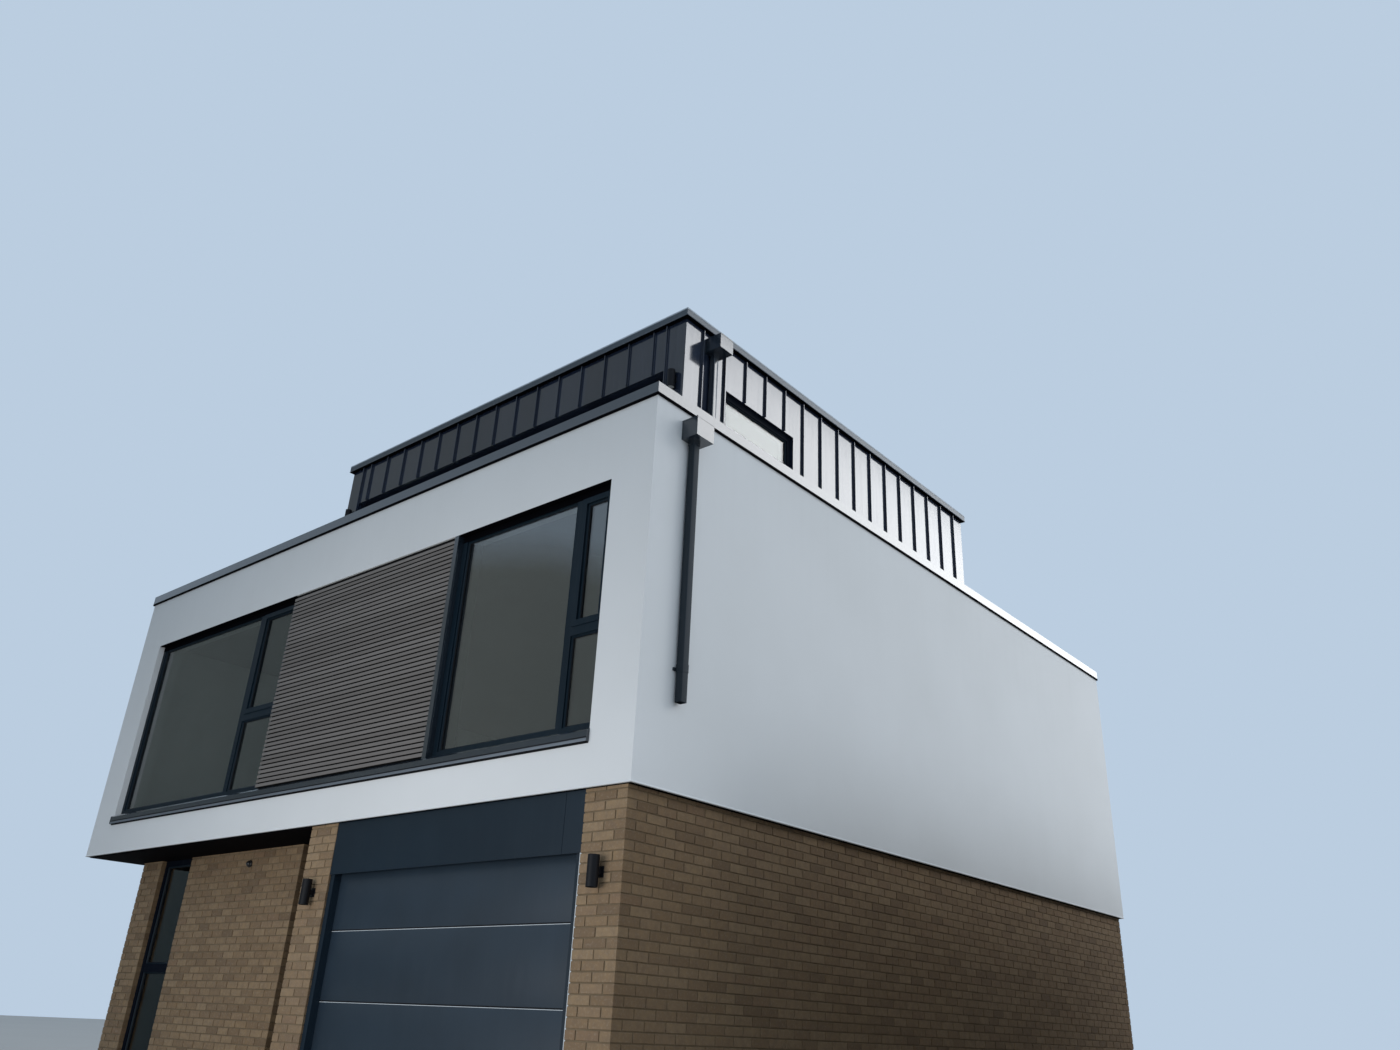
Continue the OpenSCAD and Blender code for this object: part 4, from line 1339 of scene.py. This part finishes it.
def dress_panes():
    beads, gaskets = bmesh.new(), bmesh.new()
    for name in GLASS_NODES:
        for low, high in solids_of(name):
            corners, normal = pane_corners(low, high)
            sweep_loop(beads, corners, normal, BEAD)
            sweep_loop(gaskets, corners, normal, GASKET)
    make_piece("glazing_beads", beads, "window_frame")
    make_piece("glazing_gaskets", gaskets, "window_frame", "gasket_rubber")


dress_panes()

# %% [markdown]
# ## Metal and render edges
# Folded metal never ends in a bare cut: cappings have a drip at their foot, and the coping's top
# edge is folded over into a hem, whose light tone is a painted highlight. Render stops on a slim
# white bead that throws water clear of the wall. All of these are small profiles swept round the
# house. Black linings paint the shade under the box, over the capping's foot, under the coping
# and at the window heads.

# %% Drips, folds and stop beads
DRIP = [(-0.004, 0.0), (0.004, -0.003), (0.006, 0.002), (0.0, 0.012), (-0.004, 0.012)]
FOLD = [(-0.02, 0.0), (0.0, 0.0), (0.0, 0.0035), (-0.02, 0.0055)]
STOP_BEAD = [(-0.02, 0.0), (0.005, -0.002), (0.006, 0.002), (0.001, 0.014), (-0.02, 0.014)]
FLASHING = [(-0.01, 0.0), (0.012, 0.0), (0.012, 0.004), (0.003, 0.03), (0.002, 0.15), (-0.01, 0.15)]
# profiles of the black linings that paint shade under the box, over the capping's foot and under the coping
UNDER_BOX = [(-0.022, 0.001), (-0.022, -0.006), (-0.062, -0.006), (-0.062, 0.001)]
UNDER_CAPPING = [(-0.012, -0.0015), (0.0015, -0.0015), (0.0015, 0.022), (-0.012, 0.022)]
UNDER_COPING = [(-0.005, 0.001), (-0.005, -0.012), (0.046, -0.004), (0.046, 0.001)]
HEM = [(-0.02, -0.001), (0.0, -0.018), (0.0015, -0.018), (0.0015, -0.005), (-0.004, 0.001), (-0.02, 0.001)]
HEAD_BAR = 0.065
THIN = 0.001  # how far a thin lining stands off, or reaches into, what it covers
coping, capping = box["penthouse_coping"], box["main_capping"]
outer_walls, penthouse = (front_low, rear_high), (pent_low, pent_high)


def ring_piece(name, slot, *loops, finish=None):
    """One piece made of profiles that run round the house."""
    bm = bmesh.new()
    run_round(bm, *loops)
    make_piece(name, bm, slot, finish)


def painted_shade_lines():
    """Black linings that paint the shade under the box, the capping and the coping, and at the heads."""
    bm = bmesh.new()
    run_round(bm, (outer_walls, front_low.z, UNDER_BOX), (capping, capping[0].z, UNDER_CAPPING))
    run_round(bm, (penthouse, coping[0].z, UNDER_COPING))
    for name in ("left_window_frame", "right_window_frame"):
        low, high = box[name]
        front_and_rear(bm, (low.x, front_low.y + THIN, high.z - 3 * THIN), (high.x, low.y, high.z))
        bar_low = (low.x, low.y - 2 * THIN, high.z - HEAD_BAR)
        front_and_rear(bm, bar_low, (high.x, low.y + THIN, high.z - 2 * THIN))
    make_piece("shadow_linings", bm, "black_metal", "shade_black")


ring_piece("capping_folds", "anthracite_metal", (coping, coping[0].z, DRIP), (capping, capping[1].z, FOLD))
ring_piece("render_stop_bead", "white_render", (outer_walls, front_low.z, STOP_BEAD))
ring_piece("terrace_flashing", "anthracite_metal", (penthouse, pent_low.z, FLASHING))
painted_shade_lines()
# the hem's light finish paints the highlight along the coping's top edge
ring_piece("coping_hem", "anthracite_metal", (coping, coping[1].z, HEM), finish="hem_highlight")

# %% [markdown]
# ## Sill details
# A pressed metal sill has a lip that drips clear of the wall, a bead of sealant under it and a
# folded cap at each end. A black line over the lip paints the shadow under the sill's nose. They
# are slim blocks and short plates, placed from the imported sill.

# %% Sill lips, sealant and end caps
SILL_STEP = 0.006
SILL_LIP = 0.030
# how far below the lip's top the black line starts that paints the shadow under the nose
NOSE_SHADE_DROP = 0.005
SEALANT = 0.014
CAP_THICK = 0.003
CAP_FALL = 0.018  # how far an end cap's top falls outwards
sills = solids_of("window_sills")


def sill_lips():
    """Each sill's lighter drip lip, the black line over it that paints the shadow under the nose, and the
    sealant bead under it.
    """
    lips, shade_and_sealant = bmesh.new(), bmesh.new()
    low, high = min(sills, key=lambda pair: pair[0].y)
    face, lip = low.y + SILL_STEP, low.z + SILL_LIP
    line = lip - NOSE_SHADE_DROP
    front_and_rear(lips, (low.x, face - 2 * THIN, low.z), (high.x, face + THIN, line))
    front_and_rear(shade_and_sealant, (low.x, low.y - THIN, line), (high.x, face + THIN, lip + 4 * THIN))
    bead = (low.x, front_low.y - 4 * THIN, low.z - SEALANT)
    front_and_rear(shade_and_sealant, bead, (high.x, front_low.y + THIN, low.z))
    make_piece("sill_drip_lips", lips, "anthracite_metal", "grey_lip")
    make_piece("sill_sealant", shade_and_sealant, "anthracite_metal", "gasket_rubber")


def sill_ends():
    """Folded caps on the two ends of each sill."""
    bm = bmesh.new()
    for low, high in sills:
        face, out = (front_low.y, low.y) if low.y < 0 else (rear_high.y, high.y)
        outline = [(out, low.z), (face, low.z - 0.004), (face, high.z), (out, high.z - CAP_FALL)]
        for x in (low.x - CAP_THICK, high.x):
            prism(bm, "X", outline, x, x + CAP_THICK)
    make_piece("sill_end_caps", bm, "anthracite_metal")


sill_lips()
sill_ends()

# %% [markdown]
# ## Hoppers and downpipes
# The rainwater heads are open boxes of folded sheet with a hemmed rim, and each empties into a
# square pipe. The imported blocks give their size. Here they become shells: a hopper has walls
# 2 mm thick and a real hollow, and a pipe is a tube with rounded corners, a socket where two
# lengths meet, and a clip whose ears are screwed to the wall.

# %% Rainwater goods
SHEET = 0.002
RIM = 0.014
RIM_PROFILE = [(-0.001, 0), (0.0018, 0.001), (0.0018, RIM), (-0.001, RIM)]
COLLAR = 0.004  # how far a hopper's collar stands round its pipe
COLLAR_HIGH = 0.035
PIPE_WIDE = 0.072
PIPE_ROUND = 0.006
SOCKET = 0.0025  # how far a socket stands round its pipe
SOCKET_LOW, SOCKET_HIGH = 0.012, 0.055
CLIP_UP = 0.260  # the clip's height above the pipe's foot
CLIP_DEEP, CLIP_HIGH = 0.014, 0.026
SCREW = [(0, 0), (0.0055, 0), (0.0045, 0.0025), (0, 0.0035)]


def pipe_outline(low, high, grown, radius=PIPE_ROUND):
    """A pipe's outline, grown outwards or drawn in."""
    inner, outer = (low[0] - grown, low[1] - grown), (high[0] + grown, high[1] + grown)
    return soft_rectangle(inner, outer, radius)


def hopper_shell(bm, low, high, pipe_low, pipe_high):
    """An open box with a hemmed rim and a collar round the pipe's top."""
    inner = (low.x + SHEET, low.y + SHEET), (high.x - SHEET, high.y - SHEET)
    rings = [level_loop(low, high, z) for z in (low.z, high.z)]
    rings += [level_loop(*inner, z) for z in (high.z, low.z + SHEET)]
    skin(bm, rings)
    run_round(bm, ((low, high), high.z - RIM, RIM_PROFILE))
    prism(bm, "Z", pipe_outline(pipe_low, pipe_high, COLLAR), low.z - COLLAR_HIGH, low.z + THIN)


def tube(bm, low, high, z_low, z_high):
    """A square pipe with round corners, open at its lower end."""
    outer = soft_rectangle(low, high, PIPE_ROUND)
    inner = pipe_outline(low, high, -SHEET, PIPE_ROUND - SHEET)
    levels = ((outer, z_high), (outer, z_low), (inner, z_low), (inner, z_high - SHEET))
    skin(bm, [[(x, y, z) for x, y in outline] for outline, z in levels])


def pipe_run(bm, low, high, wall_x):
    """A tube, its socket, and the clip that holds it off the wall."""
    ear = (high.y - low.y - PIPE_WIDE) / 2
    pipe_low, pipe_high = (high.x - PIPE_WIDE, low.y + ear), (high.x, high.y - ear)
    tube(bm, pipe_low, pipe_high, low.z, high.z)
    clip_z = low.z + CLIP_UP
    socket = pipe_outline(pipe_low, pipe_high, SOCKET)
    prism(bm, "Z", socket, clip_z - SOCKET_LOW, clip_z + SOCKET_HIGH)
    face = wall_x + CLIP_DEEP
    for y_low, y_high in ((low.y, pipe_low[1] + SHEET), (pipe_high[1] - SHEET, high.y)):
        block(bm, (wall_x, y_low, clip_z), (face, y_high, clip_z + CLIP_HIGH))
        lathe(bm, (face, (y_low + y_high) / 2, clip_z + CLIP_HIGH / 2), "X", SCREW, 12)
    return pipe_low, pipe_high


def rainwater():
    upper, lower, hoppers = bmesh.new(), bmesh.new(), bmesh.new()
    wall_faces = (pent_high.x, front_high.x)
    sets = zip((upper, lower), solids_of("downpipes"), solids_of("rain_hoppers"), wall_faces)
    for pipes, pipe, hopper, wall_x in sets:
        hopper_shell(hoppers, *hopper, *pipe_run(pipes, *pipe, wall_x))
    make_piece("lower_rain_pipe", lower, "anthracite_metal", "matt_pipe", ["downpipes"])
    make_piece("upper_rain_pipe", upper, "anthracite_metal")
    make_piece("hopper_heads", hoppers, "anthracite_metal", replaced=["rain_hoppers"])


rainwater()

# %% [markdown]
# ## The lights
# Each wall light is a matt black tube that shines up and down, held by a short arm on a square
# plate. A turned profile gives the tube its thickness and sets a frosted lens just inside each
# end. The small dome beside the soffit is a turned base with a glossy half sphere.

# %% Wall lights and the dome
LENS_IN = 0.014
LENS_THICK = 0.004
TUBE_WALL = 0.003
PLATE, PLATE_THICK = 0.040, 0.010
ARM = 0.020
LONGER = 0.0001  # makes a square block's height its longest side, so its upright edges are round
SCREW_OUT = 0.031
SMALL_SCREW = [(0, 0), (0.004, 0), (0.003, -0.002), (0, -0.0026)]
ROUND_STEPS = 48
DOME_BASE = 0.022
DOME_INSET = 0.006
DOME_STEPS = 12


def middle_of(low, high):
    return [(a + b) / 2 for a, b in zip(low, high)]


def wall_lights():
    bodies, lenses = bmesh.new(), bmesh.new()
    for low, high in solids_of("wall_lights"):
        radius, half = (high.x - low.x) / 2, (high.z - low.z) / 2
        x, _, z = middle_of(low, high)
        centre = (x, low.y + radius, z)
        inner = radius - TUBE_WALL
        shell = [(inner, -half), (radius - 0.001, -half), (radius, -half + 0.001), (radius, half - 0.001)]
        shell += [(radius - 0.001, half), (inner, half)]
        lathe(bodies, centre, "Z", shell, ROUND_STEPS)
        for end in (-1, 1):
            face = end * (half - LENS_IN)
            back = face - end * LENS_THICK
            lathe(lenses, centre, "Z", [(0, face), (inner, face), (inner, back), (0, back)], ROUND_STEPS)
        for half_size, near, far, ease in (
            (PLATE, high.y - PLATE_THICK, high.y, 0.003),
            (ARM, centre[1] + radius * 0.8, high.y - 0.008, 0.002),
        ):
            corner = (x + half_size, far, z + half_size + LONGER)
            block(bodies, (x - half_size, near, z - half_size), corner, ease)
        for side in (-1, 1):
            screw = (x + side * SCREW_OUT, high.y - PLATE_THICK, z)
            lathe(bodies, screw, "Y", SMALL_SCREW, 12)
    make_piece("porch_lights", bodies, "black_metal", replaced=["wall_lights"])
    make_piece("porch_light_lenses", lenses, "black_metal", "light_lens")


def dome():
    bm = bmesh.new()
    low, high = box["dome_light"]
    radius = (high.x - low.x) / 2
    x, _, z = middle_of(low, high)
    base, ball = DOME_BASE, radius - DOME_INSET
    profile = [(0, 0), (radius - 0.002, 0), (radius, -0.002), (radius, -base + 0.003)]
    profile += [(radius - 0.003, -base), (ball + 0.0015, -base), (ball, -base - 0.0012)]
    for i in range(1, DOME_STEPS + 1):
        angle = math.radians(90 * i / DOME_STEPS)
        profile.append((ball * math.cos(angle), -base - 0.001 - (ball - 0.001) * math.sin(angle)))
    lathe(bm, (x, high.y, z), "Y", profile, ROUND_STEPS)
    make_piece("dome_sensor", bm, "black_plastic", replaced=["dome_light"])


wall_lights()
dome()

# %% [markdown]
# ## The garage door
# The door has four insulated sections, each with a smooth face whose top edge is eased upwards.
# Sweeping each section's outline across the door makes those edges real. Under each joint a pale
# strip paints the thin bright line that the eased edge catches. A rubber seal closes the gap
# under the door.

# %% Garage sections
# height of the pale strip that paints the glint under each joint
GLINT_STRIP = 0.0045
JOINT_LINE = 0.009
EDGE_EASE = 0.0005


def section_outline(low, high):
    """One section's outline, seen from its end: the face stands at the lower y."""
    face, back, foot, top = low.y, high.y, low.z + 0.001, high.z - 0.0005
    return [
        (back, foot), (face + 0.004, foot), (face + 0.001, foot + 0.001), (face, foot + 0.004),
        (face, top - 0.0125), (face + 0.0015, top - 0.010), (face + 0.006, top - 0.0070),
        (face + 0.0075, top), (back, top),
    ]


def garage():
    bm, rubber, glints = bmesh.new(), bmesh.new(), bmesh.new()
    sections = sorted(solids_of("garage_door"), key=lambda pair: pair[0].z)
    for low, high in sections:
        face, line = low.y, high.z - JOINT_LINE
        block(glints, (low.x, face - 0.0012, line - GLINT_STRIP), (high.x, face + 0.002, line), EDGE_EASE)
        block(rubber, (low.x, face - 0.0006, line), (high.x, face + 0.006, high.z + 0.001), EDGE_EASE)
        prism(bm, "X", section_outline(low, high), low.x, high.x)
    low, high = sections[0]
    seal = [(low.y + 0.008, 0.0), (low.y + 0.032, 0.0), (low.y + 0.028, 0.016), (low.y + 0.012, 0.016)]
    prism(rubber, "X", seal, low.x, high.x)
    make_piece("garage_sections", bm, "garage_panel", replaced=["garage_door"])
    make_piece("garage_seals", rubber, "garage_panel", "gasket_rubber")
    # pale strips paint the glint along each section's eased top edge
    make_piece("garage_lit_edges", glints, "pale_strip")


garage()

# %% [markdown]
# ## The entrance door's fittings
# The door stands in the gap behind the middle pier. A plain dark leaf still has to be opened, so
# it gets a bar handle on two stems and a lock cylinder.

# %% Handle and lock
HANDLE_IN = 0.09  # from the door's left edge
HANDLE_OUT = 0.045
BAR_RADIUS = 0.013
STEM_SHARE = 0.7  # a stem's radius as a share of the bar's
BAR_LOW, BAR_HIGH = 0.55, 1.65
STEM_IN = 0.15
LOCK_HEIGHT = 1.02
LOCK = [(0, 0), (0.024, 0), (0.023, -0.006), (0.009, -0.007), (0.009, -0.010), (0, -0.010)]


def door_fittings():
    bm = bmesh.new()
    door_low = box["entrance_door"][0]
    x, face = door_low.x + HANDLE_IN, door_low.y
    out = face - HANDLE_OUT
    angles = [math.radians(a) for a in range(0, 360, 15)]
    ring = [(BAR_RADIUS * math.cos(a), BAR_RADIUS * math.sin(a)) for a in angles]
    prism(bm, "Z", [(x + u, out + v) for u, v in ring], BAR_LOW, BAR_HIGH)
    for z in (BAR_LOW + STEM_IN, BAR_HIGH - STEM_IN):
        prism(bm, "Y", [(x + u * STEM_SHARE, z + v * STEM_SHARE) for u, v in ring], out, face + THIN)
    lathe(bm, (x, face, LOCK_HEIGHT), "Y", LOCK, 24)
    make_piece("door_fittings", bm, "black_metal")


door_fittings()

# %% [markdown]
# ## Terrace paving and roof laps
# From above, the terrace shows porcelain slabs on a 600 mm grid, and the penthouse roof shows the
# laps between strips of roofing sheet. The paving tree fills a rectangle with whole slabs, eased
# to fit, and gives each one a tone of its own.

# %% The paving tree
SLAB = 0.600
SLAB_GAP = 0.005


def make_field_tree():
    inputs = [("Low", VECTOR, None), ("High", VECTOR, None), ("Slab", FLOAT, SLAB), ("Gap", FLOAT, SLAB_GAP)]
    tree, given, result = start_tree("paving_field", inputs, 5)
    plus, minus, times, over = sums(tree, "ADD", "SUBTRACT", "MULTIPLY", "DIVIDE")
    floor, nearest, remainder, larger = sums(tree, "FLOOR", "ROUND", "MODULO", "MAXIMUM")
    low, high = parts_of(tree, given["Low"]), parts_of(tree, given["High"])
    count, size, place = {}, {}, {"Z": low["Z"]}
    for axis in "XY":
        span = minus(high[axis], low[axis])
        count[axis] = larger(nearest(over(span, given["Slab"])), 1.0)
        size[axis] = over(span, count[axis])
    number = plus(point_number(tree), 0.5)
    cell = {"X": floor(remainder(number, count["X"])), "Y": floor(over(number, count["X"]))}
    for axis in "XY":
        place[axis] = calc(tree, "MULTIPLY_ADD", plus(cell[axis], 0.5), size[axis], low[axis])
    points = points_at(tree, given, times(count["X"], count["Y"]), combine(tree, **place))
    net = {axis: minus(size[axis], given["Gap"]) for axis in "XY"}
    laid = set_out(tree, given, points, Scale=combine(tree, **net, Z=1.0))
    return end_tree(tree, given, result, laid)


field_tree = make_field_tree()
print("paving tree:", len(field_tree.nodes), "nodes")

# %% [markdown]
# ## The slabs and the laps
# The terrace goes round the penthouse in four strips. A slab is a thin block whose top edge is
# eased, so that a fine shadow shows in each gap. The roof's laps are low strips with one eased
# edge, a metre apart. Both are guesses, because neither can be seen from below.

# %% Paving and laps
SLAB_THICK = 0.020
SLAB_EASE = 0.003
PAVING_MARGIN = 0.02
PAVING_SEED = 5
LAP_PITCH = 1.0
LAP = [(-0.03, 0), (0.03, 0), (0.03, 0.001), (0.028, 0.002), (-0.03, 0.002)]


def pave():
    bm = bmesh.new()
    shrunk = 1 - 2 * SLAB_EASE / SLAB
    levels = ((1, 0), (1, SLAB_THICK - SLAB_EASE), (shrunk, SLAB_THICK))
    skin(bm, [[(x * share, y * share, z) for x, y in UNIT_SQUARE] for share, z in levels])
    slab = object_from("one_slab", bm)
    deck_low, deck_high = box["roof_deck"]
    strips = [
        (deck_low.x, deck_low.y, deck_high.x, pent_low.y),
        (deck_low.x, pent_high.y, deck_high.x, deck_high.y),
        (deck_low.x, pent_low.y, pent_low.x, pent_high.y),
        (pent_high.x, pent_low.y, deck_high.x, pent_high.y),
    ]
    fields = []
    for x_low, y_low, x_high, y_high in strips:
        low = Vector((x_low + PAVING_MARGIN, y_low + PAVING_MARGIN, deck_high.z))
        high = Vector((x_high - PAVING_MARGIN, y_high - PAVING_MARGIN, deck_high.z))
        fields.append({"Low": low, "High": high, "Slab": SLAB, "Gap": SLAB_GAP, "Seed": PAVING_SEED})
    lay("terrace_paving", field_tree, fields, slab, "roof_membrane", "porcelain_paving")
    bpy.data.objects.remove(slab)


def roof_laps():
    """The welded laps between strips of roofing sheet."""
    bm = bmesh.new()
    prism(bm, "Y", LAP, 0.0, 1.0)
    lap = object_from("one_lap", bm)
    low, high = box["penthouse_roof"]
    count = int((high.x - low.x) / LAP_PITCH)
    first = (low.x + LAP_PITCH / 2, low.y, high.z)
    rows = [row_of(count, first, (LAP_PITCH, 0, 0), (1, high.y - low.y, 1))]
    lay("roof_laps", row_tree, rows, lap, "roof_membrane")
    bpy.data.objects.remove(lap)


pave()
roof_laps()
